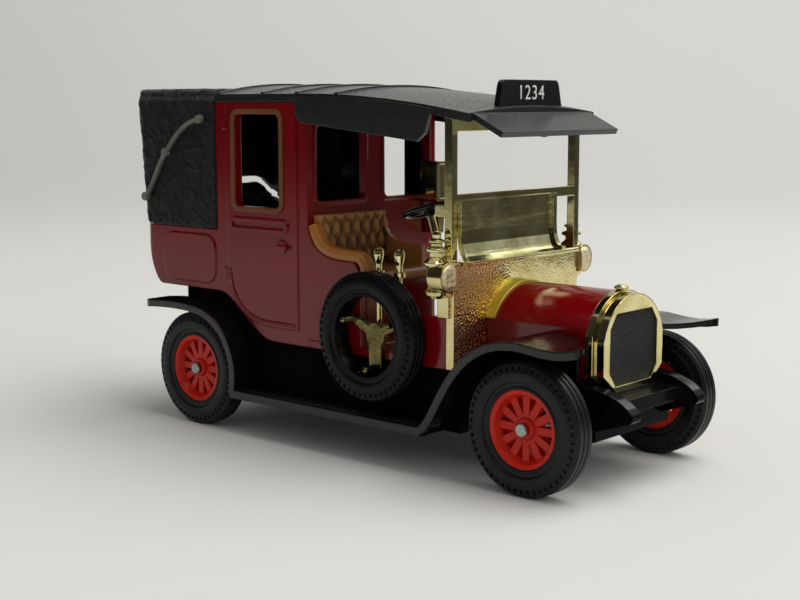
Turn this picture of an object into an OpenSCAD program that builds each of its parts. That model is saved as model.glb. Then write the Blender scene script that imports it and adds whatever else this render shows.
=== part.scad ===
// Die-cast toy taxi of the early motoring years, with an open cab and a landaulet hood.
// +X is forward, +Y is the car's left side and the tyres stand on z = 0. Sizes are in millimetres.

/* [Stance] */
// Distance between the middles of the left and right tyres
track = 32; // [31.6:0.1:33]
// Front axle to the tips of the dumb irons
front_overhang = 11.9; // [11:0.1:14]
// Rear axle to the back of the hood
rear_overhang = 16.7; // [16:0.1:19]
// Reach of the fenders outside the tyres
fender_over = 0.5; // [0.3:0.1:2]

/* [Wheels] */
// Outer radius of a tyre
tyre_r = 9.2; // [8.8:0.1:9.4]
// Width of a tyre
tyre_w = 4; // [3.5:0.1:4.2]
// Radius at which a tyre sits on its wheel
rim_r = 5.4; // [5:0.1:6]
// Number of spokes in a wheel
spoke_count = 12; // [8:1:14]
// Radius of a wheel's hub
hub_r = 1.5; // [1.3:0.1:1.9]
// Radius of a steel axle
axle_r = 0.7; // [0.5:0.05:0.9]
// Outer radius of the spare tyre
spare_r = 9.4; // [8.8:0.1:9.8]
// Width of the spare tyre
spare_w = 3.5; // [3:0.1:3.6]

/* [Body] */
// Middle of the car to the outer face of the body's sides
body_half_w = 14.85; // [14.5:0.05:15]
// Thickness of the castings
body_wall = 1.2; // [1:0.1:1.5]
// Rise of the body's underside at the doors above the axles
sill_rise = 5.8; // [5:0.1:7]
// Rise of the tub's underside above the doors' underside
tub_rise = 7; // [6:0.1:8.5]
// Height of the tub, up to the belt line where the hood sits
tub_h = 9.9; // [8.5:0.1:11.5]
// Height of the cabin's walls above the belt line
cabin_h = 20.3; // [18:0.1:23]
// Length of the hood
hood_len = 19.65; // [18.5:0.05:21]
// Length of the closed cabin, from the hood to the bulkhead
cabin_len = 20.65; // [20:0.05:23]
// Length of the open cab, from the bulkhead to the dash
cab_len = 27.3; // [26.5:0.1:29]
// Belt line to the bottom of a door's window
window_sill = 4; // [3.4:0.1:6]
// Hood to the back edge of a door's window
window_back = 4.75; // [4:0.05:6]

/* [Front] */
// Half width of the bonnet
bonnet_half_w = 7.5; // [6.8:0.1:8]
// Height of the bonnet
bonnet_h = 11.3; // [10:0.1:13]
// Length of the bonnet
bonnet_len = 17.1; // [15:0.1:21]
// Front axle to the back of the radiator
radiator_set = 3.2; // [3:0.1:4]
// Depth of the radiator
radiator_d = 2.8; // [2.4:0.1:3.4]
// Thickness of the dash
dash_t = 1.4; // [1:0.1:1.8]
// Height of the dash
dash_h = 15.2; // [13.5:0.1:17]
// Height of the lamps, without their stems
lamp_h = 9.6; // [8.5:0.1:10.5]
// Radius of a lamp's body
lamp_r = 1.65; // [1.4:0.05:1.9]

/* [Roof] */
// Rise of the roof's middle above its edges at the back
roof_crown = 1.5; // [0.8:0.1:2.5]
// Thickness of the roof
roof_t = 1; // [0.8:0.05:1.2]
// Height of the moulding along the roof's edges
roof_edge_h = 1.2; // [1:0.05:1.6]
// Drop of the roof's front edge
roof_drop = 2.8; // [2:0.1:3.1]
// Reach of the sun visor in front of the roof
visor_reach = 5.1; // [3:0.1:7]
// Height of the plate on the roof
plate_h = 3.6; // [2.5:0.1:4.5]

/* [Hidden] */
$fn = 48;

// Overrun of every cut, and the gap between pieces that slide together
overrun = 1;
fit_gap = 0.1;
run_gap = 0.06;
end_gap = 0.3;

// Stations along the car
half_l = (hood_len + cabin_len + cab_len + dash_t + bonnet_len - radiator_set + front_overhang) / 2;
hood_back = -half_l;
rear_axle_x = hood_back + rear_overhang;
hood_front = hood_back + hood_len;
bulkhead_x = hood_front + cabin_len;
dash_x = bulkhead_x + cab_len;
dash_front = dash_x + dash_t;
bonnet_front = dash_front + bonnet_len;
front_axle_x = bonnet_front - radiator_set;
radiator_front = bonnet_front + radiator_d;
inner_half_w = body_half_w - body_wall;
axle_z = tyre_r;
tyre_in_y = (track - tyre_w) / 2;
fender_half_w = (track + tyre_w) / 2 + fender_over;
sill_z = axle_z + sill_rise;
tub_z = sill_z + tub_rise;
belt_z = tub_z + tub_h;
eaves_z = belt_z + cabin_h;
bonnet_top_z = sill_z + bonnet_h;
dash_top_z = sill_z + dash_h;

// Chassis
wheel_gap = 0.8;
chassis_half_w = tyre_in_y - wheel_gap;
nose_half_w = 9.2;
chassis_wall = 1.2;
board_set = 2.2;
board_top_z = axle_z - board_set;
board_t = 1.3;
base_z = board_top_z - board_t;
tray_back = rear_axle_x - 0.74 * tyre_r;
board_rib_h = 0.25;
board_rib_w = 0.5;
board_rib_count = 4;
fender_t = 0.8;
fender_gap = 0.45;
fender_bead = 0.35;
fender_bead_w = 0.8;
front_tip_r = 4;
front_tip_sweep = 8.5;
rear_tip_r = 2.6;
front_crown_set = 2.55;
front_crown_back = 1;
front_tip_rise = 0.6;
front_crown_z = 2 * tyre_r + front_crown_set;
front_fender_run = 17.9;
front_fender_reach = 10.9;
rear_fender_reach = 12.8;
rear_fender_set = 1;
rear_fender_rise = 0.9;
rear_fender_z = 2 * tyre_r + rear_fender_set;
rear_fender_top_z = rear_fender_z + rear_fender_rise;
iron_w = 2.1;
iron_y = 7.3;
iron_tip_set = 1.75;
iron_tip_z = axle_z + iron_tip_set;
iron_tip_r = 0.8;
iron_top_drop = 0.7;
cross_set = 3.4;
cross_z = axle_z + cross_set;
cross_h = 1.92;
cross_d = 3.2;
boss_r = 2.2;
rivet_r = 1;
rivet_head_r = 1.9;
rivet_head_h = 0.6;
base_t = 1.5;
saddle_gap = 0.2;
saddle_half = radiator_set - chassis_wall - saddle_gap;
saddle_h = 1.8;

// Wheels and axles
rim_half_w = 1.55;
rim_lip = 0.65;
dish_in = 0.55;
dish_deep = 1.25;
hub_in = 1.6;
hub_out = 1.1;
hub_chamfer = 0.2;
web_over = 1.15;
web_t = 0.7;
spoke_root_w = 0.9;
spoke_tip_w = 1.2;
spoke_t = 1.15;
axle_head_over = 0.22;
axle_head_h = 0.4;
axle_head_r = axle_r + axle_head_over;
// Tyre section: share of the way from bead to tread, share of half the width
tyre_shares = [
  [0, 0.8], [0.03, 0.86], [0.09, 0.86], [0.12, 0.8], [0.25, 0.82], [0.28, 0.95], [0.34, 0.985], [0.48, 1],
  [0.6, 0.99], [0.64, 0.98], [0.655, 0.92], [0.69, 0.92], [0.9, 0.84], [0.955, 0.76], [0.955, 0.7], [1, 0.66],
  [1, 0.32], [0.955, 0.28], [0.955, 0.18], [1, 0.14]
];

// Body
tub_lean = 0.8;
tub_curve = 4.6;
tub_corner_r = 2.2;
sweep_start = 0.55;
sweep_len = 12;
door_relief = 0.25;
door_back = 2.6;
door_front = 2.1;
door_low = 2.3;
door_curve_h = 8.5;
door_curve_l = 9.5;
window_front = 5.7;
window_top = 1.9;
waist_ring = 0.6;
bead_in = 0.55;
bead_w = 0.35;
bead_relief = 0.15;
window_r = 0.9;
trim_w = 0.85;
trim_t = 0.2;
waist_h = 2.1;
waist_set = 0.2;
waist_z = belt_z + waist_set;
waist_back = 3.5;
waist_front = 3.9;
waist_relief = 0.35;
panel_front = 0.55;
panel_back = 5.4;
panel_margin = 1;
panel_r = 2.2;
handle_x = 5.2;
handle_set = 1.9;
handle_z = belt_z - handle_set;
handle_r = 1.05;
handle_l = 2.6;
hinge_r = 0.55;
hinge_h = 1.8;
hinge_shares = [0.27, 0.91];
bulkhead_window_in = 2.2;
bulkhead_window_set = 0.65;
bulkhead_window_sill = 5.3;
bulkhead_window_head = 3.6;
bulkhead_window_out = inner_half_w - bulkhead_window_set;
bulkhead_window_low = belt_z + bulkhead_window_sill;
bulkhead_window_top = eaves_z - bulkhead_window_head;
bulkhead_frame_w = 0.55;
cab_floor_t = 1.2;
side_len = 11;
side_rise = 1.7;
side_fall = 3.1;
side_top_z = belt_z + side_rise;
side_front_z = belt_z - side_fall;
side_nose = 1.4;
side_nose_h = 1.8;
footwell_len = 4.7;
footwell_h = 7.3;
footwell_top_z = sill_z + footwell_h;
footwell_r = 1;

// Driver's seat
seat_left = 1.2;
seat_box_over = 0.2;
seat_box_len = side_len + seat_box_over;
seat_box_h = 10.4;
seat_box_top = sill_z + seat_box_h;
seat_cushion_t = 1.7;
seat_cushion_over = 0.5;
seat_back_rise = 3.3;
seat_back_top = belt_z + seat_back_rise;
seat_back_t = 1;
seat_back_rake = 1;
seat_arm_w = 1.7;
seat_arm_h = 1.35;
seat_arm_front = 3.6;
tuft_h = 0.8;
tuft_w = 1.1;
tuft_rows = 4;
tuft_grid = 40;
rear_seat_rise = 1.5;
rear_seat_h = 4.5;
rear_seat_top = belt_z + rear_seat_rise;
rear_seat_z = tub_z + rear_seat_h;
rear_seat_len = 11.5;
rear_back_t = 2.2;

// Bonnet, radiator and grille
bonnet_crease = 4.6;
strap_w = 1.6;
strap_t = 0.25;
radiator_in = 0.15;
radiator_half_w = bonnet_half_w - radiator_in;
radiator_top_z = bonnet_top_z - radiator_in;
radiator_shoulder = 5.6;
radiator_chamfer = 2.6;
radiator_chamfer_w = 3.3;
radiator_chamfer_rise = 0.5;
radiator_chamfer_z = sill_z + radiator_chamfer_rise;
radiator_low_z = radiator_chamfer_z - radiator_chamfer;
radiator_low_half_w = radiator_half_w - radiator_chamfer_w;
radiator_step = 0.35;
radiator_groove = 0.45;
radiator_groove_d = 0.4;
radiator_back_d = 1.1;
grille_margin_w = 1.4;
grille_margin_top = 2.35;
grille_margin_low = 0.9;
grille_half_w = radiator_half_w - grille_margin_w;
grille_top_z = radiator_top_z - grille_margin_top;
grille_low_z = radiator_low_z + grille_margin_low;
grille_corner_w = 1.5;
grille_corner_h = 2;
grille_set = 0.35;
grille_d = 1.3;
fin_count = 30;
fin_fill_share = 0.55;
fin_h = 0.28;
cap_r = 1;
cap_h = 0.55;
cap_neck_r = 0.7;
cap_neck_h = 0.15;

// Dash, windscreen and cowl
dash_half_w = body_half_w;
dash_corner_r = 1;
dash_ledge_h = 0.8;
dash_ledge_out = 1;
post_w = 1.2;
post_d = 1.3;
screen_over = 0.35;
screen_half_w = body_half_w + screen_over;
screen_bar_h = 1.7;
screen_mid_rise = 7.8;
screen_mid_z = dash_top_z + screen_mid_rise;
screen_seat = 0.02;
screen_mid_h = 1.5;
lug_h = 1.6;
lug_l = 1.7;
cowl_t = 0.7;
cowl_left = 7.9;
cowl_rim = 0.9;
cowl_rim_t = 0.45;
cowl_out = 2.1;
cowl_curve_h = 4;
cowl_rise = 0.25;

// Lamps
lamp_set = 0.6;
lamp_out = 0.95;
lamp_hang = 5;
lamp_x = dash_x - lamp_set;
lamp_flat = screen_half_w;
lamp_y = lamp_flat + lamp_out;
lamp_z = dash_top_z - lamp_hang;
lens_r = 1.8;
lens_bezel = 0.35;
lens_rise = 3;
lens_z = lamp_z + lens_rise;
lens_out = 0.45;
lens_t = 0.5;
// Lamp turning: share of the lamp's radius, share of its height
lamp_shares = [
  [0, 0], [0.72, 0], [0.95, 0.05], [1, 0.1], [0.8, 0.14], [0.8, 0.44], [1.08, 0.48], [1.12, 0.52],
  [0.78, 0.57], [0.62, 0.6], [0.62, 0.66], [0.9, 0.68], [0.9, 0.72], [0.5, 0.75], [0.5, 0.79], [0.7, 0.81],
  [0.7, 0.84], [0.36, 0.87], [0.42, 0.92], [0.3, 0.97], [0, 1]
];

// Controls and taximeter
wheel_set = 10.3;
wheel_side_share = 0.47;
wheel_rise = 6.2;
wheel_x = dash_x - wheel_set;
wheel_y = -wheel_side_share * inner_half_w;
wheel_z = dash_top_z + wheel_rise;
wheel_rake = 18;
wheel_r = 4.2;
wheel_tube_r = 0.42;
wheel_hub_r = 0.9;
wheel_hub_h = 0.9;
wheel_spoke_w = 0.6;
column_r = 0.6;
column_foot_r = 1.3;
column_foot_h = 0.8;
lever_set = 1.8;
lever_pitch = 4.05;
lever_rise = 1;
brake_x = bulkhead_x + seat_box_len + seat_cushion_over + lever_set;
gear_x = brake_x + lever_pitch;
lever_y = inner_half_w;
lever_top_z = dash_top_z + lever_rise;
lever_r = 0.42;
lever_knob_r = 0.78;
lever_knob_h = 3.4;
lever_collar_r = 0.85;
lever_collar_h = 0.7;
// Lever grip turning: share of its radius, share of its height
grip_shares = [[0.62, 0], [0.62, 0.3], [0.8, 0.45], [1, 0.7], [0.96, 0.85], [0.7, 0.96], [0, 1]];
meter_in = 0.85;
meter_w = 3;
meter_left = body_half_w - meter_in;
meter_right = meter_left - meter_w;
meter_d = 3.2;
meter_rise = 4.1;
meter_h = 6.6;
meter_foot_h = 5.2;
meter_low_z = belt_z + meter_rise;
meter_top_z = meter_low_z + meter_h;
meter_foot_z = meter_low_z - meter_foot_h;
meter_foot_half_w = 0.5;
meter_rim = 0.5;
meter_rim_t = 0.3;
meter_knob_r = 0.55;
meter_knob_l = 0.9;

// Spare tyre and bracket
spare_set = 3.6;
spare_x = bulkhead_x + side_len + spare_set;
spare_z = sill_z + spare_set;
spare_in_y = max(body_half_w, chassis_half_w);
spare_arm_w = 1.3;
spare_plate_t = 0.9;
spare_peg_r = 0.5;
spare_peg_l = 2.9;
spare_peg_set = 0.15;
spare_foot_w = 2.4;
spare_angles = [25, 155, 270];

// Roof, plate and hood
roof_half_w = body_half_w + fit_gap;
roof_over = 2.5;
roof_front = dash_front + roof_over;
roof_flat_share = 0.38;
roof_front_crown_share = 0.6;
roof_lip_w = 0.8;
roof_steps = 14;
roof_arch_steps = 12;
batten_w = 0.7;
batten_h = 0.3;
batten_shares = [0.02, 0.215, 0.36, 0.52];
visor_in = 1.05;
visor_half_w = roof_half_w - visor_in;
visor_t = 0.8;
visor_fall = 2.5;
flap_t = 0.55;
flap_back = 0.3;
flap_front = 6.2;
flap_back_h = 3.1;
flap_front_h = 3.7;
flap_slant = 1.5;
flap_corner = 1.2;
plate_half_w = 7.5;
plate_taper = 0.7;
plate_t = 0.9;
plate_r = 1;
plate_set = 0.6;
hood_over = 0.25;
hood_wall = 1.2;
hood_rise = 2.1;
hood_top_z = eaves_z + hood_rise;
hood_back_low = 1.4;
hood_corner_r = 1.8;
hood_top_r = 1.8;
hood_low_r = 2.6;
slit_h = 1.1;
slit_rise = 5.9;
slit_fall = 2.5;
slit_half_w = 10.4;
slit_tail = 4.8;
hood_iron_w = 0.65;
hood_iron_t = 0.6;
hood_iron_ball_r = 0.7;
hood_iron_top_set = [3.25, 2.7];
hood_iron_knuckle_set = [7.7, 8.2];
hood_iron_low_set = [2.2, 4.6];
hood_iron_top = [hood_front - hood_iron_top_set.x, eaves_z - hood_iron_top_set.y];
hood_iron_knuckle = [hood_back + hood_iron_knuckle_set.x, eaves_z - hood_iron_knuckle_set.y];
hood_iron_low = [hood_back + hood_iron_low_set.x, belt_z + hood_iron_low_set.y];
hood_iron_bow = 2.2;

// Points on curves
function bezier(a, b, c, d, steps) =
  [for (i = [0 : steps]) let (t = i / steps, u = 1 - t)
    u * u * u * a + 3 * u * u * t * b + 3 * u * t * t * c + t * t * t * d];
function arc(centre, r, from, to, steps) =
  [for (i = [0 : steps]) let (a = from + (to - from) * i / steps) centre + r * [cos(a), sin(a)]];
function reversed(p) = [for (i = [len(p) - 1 : -1 : 0]) p[i]];
function tangent(p, i) = p[min(i + 1, len(p) - 1)] - p[max(i - 1, 0)];
function normal(p, i) = let (d = tangent(p, i) / norm(tangent(p, i))) [-d.y, d.x];
// A path moved to its left by a distance, and a strip of that thickness
function moved(p, distance) = [for (i = [0 : len(p) - 1]) p[i] + distance * normal(p, i)];
function strip(p, t) = concat(p, reversed(moved(p, t)));

// Extrusion of a side view (x, z) between two values of y, and of a front view (y, z) between two of x
module along_y(y0, y1) {
  translate([0, y1, 0]) rotate([90, 0, 0]) linear_extrude(y1 - y0) children();
}
module along_x(x0, x1) {
  translate([x0, 0, 0]) rotate([90, 0, 90]) linear_extrude(x1 - x0) children();
}
module both_sides() {
  children();
  mirror([0, 1, 0]) children();
}
module block(low, high) {
  translate(low) cube(high - low);
}
module rounded(low, high, r) {
  size = high - low;
  c = min(r, size.x / 2.01, size.y / 2.01);
  translate(low + [c, 0]) square(size - [2 * c, 0]);
  translate(low + [0, c]) square(size - [0, 2 * c]);
  for (x = [low.x + c, high.x - c], y = [low.y + c, high.y - c]) translate([x, y]) circle(c);
}
// A closed slab between two grids of points, each of rows of columns
module quilt(front, back, columns, rows) {
  m = columns + 1;
  total = m * (rows + 1);
  function quad(a, b, c, d) = [[a, b, c], [a, c, d]];
  faces = [
    for (j = [0 : rows - 1], i = [0 : columns - 1]) let (a = j * m + i)
      each concat(
        quad(a, a + m, a + m + 1, a + 1),
        quad(total + a, total + a + 1, total + a + m + 1, total + a + m)),
    for (i = [0 : columns - 1]) let (a = i, b = rows * m + i)
      each concat(quad(a, a + 1, total + a + 1, total + a), quad(b, total + b, total + b + 1, b + 1)),
    for (j = [0 : rows - 1]) let (a = j * m, b = j * m + columns)
      each concat(quad(a, total + a, total + a + m, a + m), quad(b, b + m, total + b + m, total + b))
  ];
  polyhedron(concat(front, back), faces, convexity = 8);
}
// A turned shape from a table of shares of a radius and a height
module turned(shares, r, h) {
  rotate_extrude() polygon([for (s = shares) [s[0] * r, s[1] * h]]);
}

// Underside of the body: down the back of the tub, along it, and down the sweep to the sill
tub_back = hood_back + tub_lean;
sweep_x0 = hood_front + sweep_start;
sweep_x1 = sweep_x0 + sweep_len;
sweep = bezier(
  [sweep_x0, tub_z], [sweep_x0 + sweep_len / 4, tub_z],
  [sweep_x1 - sweep_len / 3, sill_z], [sweep_x1, sill_z], 8);
tub_curve_path = bezier(
  [tub_back, belt_z], [tub_back + tub_curve * 0.26, belt_z - (belt_z - tub_z) * 0.45],
  [tub_back + tub_curve * 0.57, tub_z], [tub_back + tub_curve, tub_z], 8);
under_path = concat(tub_curve_path, sweep, [[bulkhead_x, sill_z]]);

// Black running gear
front_crown_x = front_axle_x - front_crown_back;
front_tip = [front_axle_x + front_fender_reach, front_crown_z + front_tip_rise];
front_fender_path = concat(
  bezier(
    [front_axle_x - front_fender_run, board_top_z], [front_axle_x - front_fender_run * 0.83, board_top_z],
    [front_axle_x - front_fender_run * 0.73, front_crown_z], [front_crown_x, front_crown_z], 14),
  [for (p = bezier(
    [front_crown_x, front_crown_z], [front_crown_x + front_fender_reach * 0.32, front_crown_z],
    [front_crown_x + front_fender_reach * 0.55, front_crown_z - 2.4 * front_tip_rise], front_tip, 8))
    if (p.x > front_crown_x) p]);
rear_fender_r = tyre_r + fender_gap + fender_t;
rear_fender_low = asin((board_top_z - board_t / 2 - axle_z) / rear_fender_r);
rear_fender_arc = arc([rear_axle_x, axle_z], rear_fender_r, rear_fender_low, 72, 12);
rear_fender_end = rear_fender_arc[len(rear_fender_arc) - 1];
rear_fender_path = concat(
  rear_fender_arc,
  [for (p = bezier(
    rear_fender_end, rear_fender_end + rear_fender_reach * 0.18 * [-sin(72), cos(72)],
    [rear_axle_x - rear_fender_reach * 0.35, rear_fender_top_z],
    [rear_axle_x - rear_fender_reach, rear_fender_z], 8)) if (p != rear_fender_end) p]);
board_back = rear_axle_x + rear_fender_r * cos(rear_fender_low);
board_front = front_axle_x - front_fender_run;

module fender(path, t, in_y) {
  intersection() {
    union() {
      along_y(in_y, fender_half_w) polygon(strip(path, t));
      along_y(fender_half_w - fender_bead_w, fender_half_w) polygon(strip(path, t + sign(t) * fender_bead));
    }
    linear_extrude(front_crown_z + tub_z) children();
  }
}
// Plans of the fenders: the front one's edge sweeps back from its outer corner
module front_fender_plan(in_y) {
  corner = [front_tip.x, fender_half_w];
  inner = [front_tip.x - front_tip_sweep, in_y];
  back = (inner - corner) / norm(inner - corner);
  polygon(concat(
    [[board_front - 2 * front_tip_r, in_y - front_tip_r], [board_front - 2 * front_tip_r, fender_half_w]],
    bezier(
      corner - [front_tip_r, 0], corner - [front_tip_r * 0.4, 0],
      corner + back * front_tip_r * 0.4, corner + back * front_tip_r, 6),
    [inner, [inner.x, in_y - front_tip_r]]));
}
module rear_fender_plan(in_y) {
  rounded(
    [rear_axle_x - rear_fender_reach, in_y - 2 * rear_tip_r],
    [board_back + 3 * rear_tip_r, fender_half_w], rear_tip_r);
}
module dumb_iron() {
  tip = [half_l - iron_tip_r, iron_tip_z];
  root_x = front_axle_x;
  top_z = sill_z - iron_top_drop;
  hole_x = root_x + saddle_half + 2 * chassis_wall;
  difference() {
    along_y(iron_y, iron_y + iron_w) {
      translate(tip) circle(iron_tip_r);
      polygon(concat(
        [[root_x, base_z + chassis_wall / 2], tip - [0, iron_tip_r], tip],
        bezier(
          tip + iron_tip_r * [cos(45), sin(45)], tip + [-iron_tip_r, 3 * iron_tip_r],
          [(bonnet_front + tip.x) / 2, top_z], [bonnet_front, top_z], 8),
        [[root_x, top_z]]));
    }
    along_y(iron_y - overrun, iron_y + iron_w + overrun) polygon([
      [hole_x, iron_tip_z - iron_tip_r * 0.8],
      [tip.x - 4 * iron_tip_r, iron_tip_z],
      [hole_x, iron_tip_z + iron_tip_r * 1.2]
    ]);
  }
}
module axle_slot(x) {
  along_y(-fender_half_w, fender_half_w) {
    translate([x, axle_z]) circle(axle_r + fit_gap);
    translate([x - axle_r - fit_gap, base_z - overrun])
      square([2 * (axle_r + fit_gap), axle_z - base_z + overrun]);
  }
}
rivet_xs = [sweep_x1, dash_x - boss_r];
module chassis() {
  tray_top = concat([[tray_back, tub_z]], sweep, [[dash_front, sill_z]]);
  tray_roof = moved(tray_top, -chassis_wall);
  roof_last = tray_roof[len(tray_roof) - 1];
  color("#141416") {
    difference() {
      union() {
        along_y(-chassis_half_w, chassis_half_w)
          polygon(concat(tray_top, [[dash_front, base_z], [tray_back, base_z]]));
        block([dash_front - chassis_wall, -nose_half_w, base_z], [bonnet_front, nose_half_w, sill_z]);
        both_sides() {
          block(
            [board_back - fender_t, chassis_half_w - chassis_wall / 2, base_z],
            [board_front + fender_t, fender_half_w, board_top_z]);
          for (i = [1 : board_rib_count])
            translate([0, (fender_half_w - chassis_half_w) * i / (board_rib_count + 1), 0])
              block(
                [board_back + fender_bead_w, chassis_half_w - board_rib_w / 2, base_z],
                [board_front - fender_bead_w, chassis_half_w + board_rib_w / 2, board_top_z + board_rib_h]);
          fender(front_fender_path, -fender_t, nose_half_w - fender_t)
            front_fender_plan(nose_half_w - fender_t);
          fender(rear_fender_path, fender_t, chassis_half_w - fender_t)
            rear_fender_plan(chassis_half_w - fender_t);
          along_y(nose_half_w - fender_t, nose_half_w) polygon(concat(
            moved([for (p = front_fender_path) if (p.y > sill_z && p.x < bonnet_front) p], -fender_t / 2),
            [[front_axle_x + radiator_set, base_z + chassis_wall], [dash_front, base_z + chassis_wall]]));
          dumb_iron();
        }
        block(
          [bonnet_front - overrun, -nose_half_w, base_z + chassis_wall],
          [radiator_front, nose_half_w, radiator_low_z]);
        block(
          [radiator_front - cross_d / 2, -iron_y - iron_w / 2, cross_z - cross_h],
          [radiator_front + cross_d, iron_y + iron_w / 2, cross_z]);
      }
      along_y(chassis_wall - chassis_half_w, chassis_half_w - chassis_wall) polygon(concat(
        [[tray_back + chassis_wall, tub_z - chassis_wall]],
        [for (p = tray_roof) if (p.x > tray_back + chassis_wall && p.x < roof_last.x) p],
        [[dash_front - chassis_wall, roof_last.y], [dash_front - chassis_wall, base_z - overrun],
         [tray_back + chassis_wall, base_z - overrun]]));
      block(
        [dash_front - 2 * chassis_wall, chassis_wall - nose_half_w, base_z - overrun],
        [bonnet_front - chassis_wall, nose_half_w - chassis_wall, sill_z - chassis_wall]);
      axle_slot(rear_axle_x);
      axle_slot(front_axle_x);
    }
    for (x = rivet_xs) difference() {
      translate([x, 0, base_z + base_t])
        cylinder(h = sill_z - base_z - base_t - chassis_wall / 2, r = boss_r);
      translate([x, 0, base_z]) cylinder(h = sill_z - base_z - 2 * chassis_wall, r = rivet_r);
    }
  }
}
module base_plate() {
  wide = chassis_half_w - chassis_wall - fit_gap;
  narrow = nose_half_w - chassis_wall - fit_gap;
  color("#1d1d20") difference() {
    union() {
      block(
        [tray_back + chassis_wall + fit_gap, -wide, base_z],
        [dash_front - chassis_wall - fit_gap, wide, base_z + base_t]);
      block(
        [dash_x - boss_r, -narrow, base_z],
        [bonnet_front - chassis_wall - fit_gap, narrow, base_z + base_t]);
      block([rear_axle_x - saddle_half, -wide, base_z], [rear_axle_x + saddle_half, wide, axle_z + saddle_h]);
      block(
        [front_axle_x - saddle_half, -narrow, base_z],
        [front_axle_x + saddle_half, narrow, axle_z + saddle_h]);
    }
    for (x = [rear_axle_x, front_axle_x])
      translate([x, 0, axle_z]) rotate([90, 0, 0])
        cylinder(h = 2 * chassis_half_w, r = axle_r, center = true);
    for (x = rivet_xs) translate([x, 0, base_z - overrun]) {
      cylinder(h = base_t + 2 * overrun, r = rivet_r);
      cylinder(h = overrun + rivet_head_h, r = rivet_head_r);
    }
  }
}
module rivets() {
  color("#8a8a88") for (x = rivet_xs) translate([x, 0, base_z]) {
    cylinder(h = rivet_head_h, r = rivet_head_r);
    cylinder(h = sill_z - base_z - 2 * chassis_wall, r = rivet_r);
  }
}
hub_out_y = track / 2 + hub_out;
module axle(x) {
  reach = hub_out_y + end_gap;
  color("#9a9a96") translate([x, 0, axle_z]) rotate([90, 0, 0]) {
    cylinder(h = 2 * (reach + axle_head_h / 2), r = axle_r, center = true);
    for (s = [-1, 1]) scale([1, 1, s]) translate([0, 0, reach]) {
      cylinder(h = 0.75 * axle_head_h, r = axle_head_r);
      cylinder(h = axle_head_h, r = axle_head_r - axle_head_h / 4);
    }
  }
}
module front_axle() { axle(front_axle_x); }
module rear_axle() { axle(rear_axle_x); }

// Places of the road wheels: a right-hand wheel's outer face looks to -Y
module wheel_place(x, side) {
  translate([x, side * track / 2, axle_z]) rotate([-side * 90, 0, 0]) children();
}
module wheel() {
  rim_in = rim_r - rim_lip;
  web_in = rim_in - dish_in;
  color("#b3231c") {
    rotate_extrude() polygon([
      [web_in, -rim_half_w], [rim_r, -rim_half_w], [rim_r, rim_half_w], [rim_r - rim_lip / 3, rim_half_w],
      [rim_in, rim_half_w - rim_lip / 4], [web_in, rim_half_w - dish_deep]
    ]);
    difference() {
      union() {
        translate([0, 0, -hub_in]) cylinder(h = hub_in + hub_out - hub_chamfer, r = hub_r);
        translate([0, 0, hub_out - hub_chamfer])
          cylinder(h = hub_chamfer, r1 = hub_r, r2 = hub_r - hub_chamfer);
        translate([0, 0, -web_t / 2]) cylinder(h = web_t, r = hub_r + web_over);
        for (i = [0 : spoke_count - 1]) rotate([0, 0, 360 * i / spoke_count])
          translate([0, 0, -spoke_t / 2]) linear_extrude(spoke_t) polygon([
            [(hub_r + axle_r) / 2, -spoke_root_w / 2], [web_in + rim_lip / 2, -spoke_tip_w / 2],
            [web_in + rim_lip / 2, spoke_tip_w / 2], [(hub_r + axle_r) / 2, spoke_root_w / 2]
          ]);
      }
      translate([0, 0, -hub_in - overrun]) cylinder(h = hub_in + hub_out + 2 * overrun, r = axle_r + run_gap);
    }
  }
}
module tyre(r, w, bore_r) {
  half = [for (s = tyre_shares) [bore_r + s[0] * (r - bore_r), s[1] * w / 2]];
  color("#1b1c1e") rotate_extrude($fn = 72) polygon(concat(half, [for (p = reversed(half)) [p.x, -p.y]]));
}
module wheel_front_right() { wheel_place(front_axle_x, -1) rotate([180, 0, 0]) mirror([0, 0, 1]) wheel(); }
module wheel_front_left() { wheel_place(front_axle_x, 1) wheel(); }
module wheel_rear_right() { wheel_place(rear_axle_x, -1) rotate([180, 0, 0]) mirror([0, 0, 1]) wheel(); }
module wheel_rear_left() { wheel_place(rear_axle_x, 1) wheel(); }
module tyre_front_right() { wheel_place(front_axle_x, -1) tyre(tyre_r, tyre_w, rim_r); }
module tyre_front_left() { wheel_place(front_axle_x, 1) tyre(tyre_r, tyre_w, rim_r); }
module tyre_rear_right() { wheel_place(rear_axle_x, -1) tyre(tyre_r, tyre_w, rim_r); }
module tyre_rear_left() { wheel_place(rear_axle_x, 1) tyre(tyre_r, tyre_w, rim_r); }

// Roof: its edge runs level over the cabin and curves down over the cab, and its crown flattens to the front
roof_back = hood_front;
roof_bend = roof_back + roof_flat_share * (roof_front - roof_back);
function roof_edge(x) =
  eaves_z + roof_edge_h - roof_drop * pow(max(0, x - roof_bend) / (roof_front - roof_bend), 2);
function roof_rise(x) =
  roof_crown * (1 - (1 - roof_front_crown_share) * (x - roof_back) / (roof_front - roof_back));
function roof_top(x, y) = roof_edge(x) + roof_rise(x) * (1 - pow(y / roof_half_w, 2));

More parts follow.
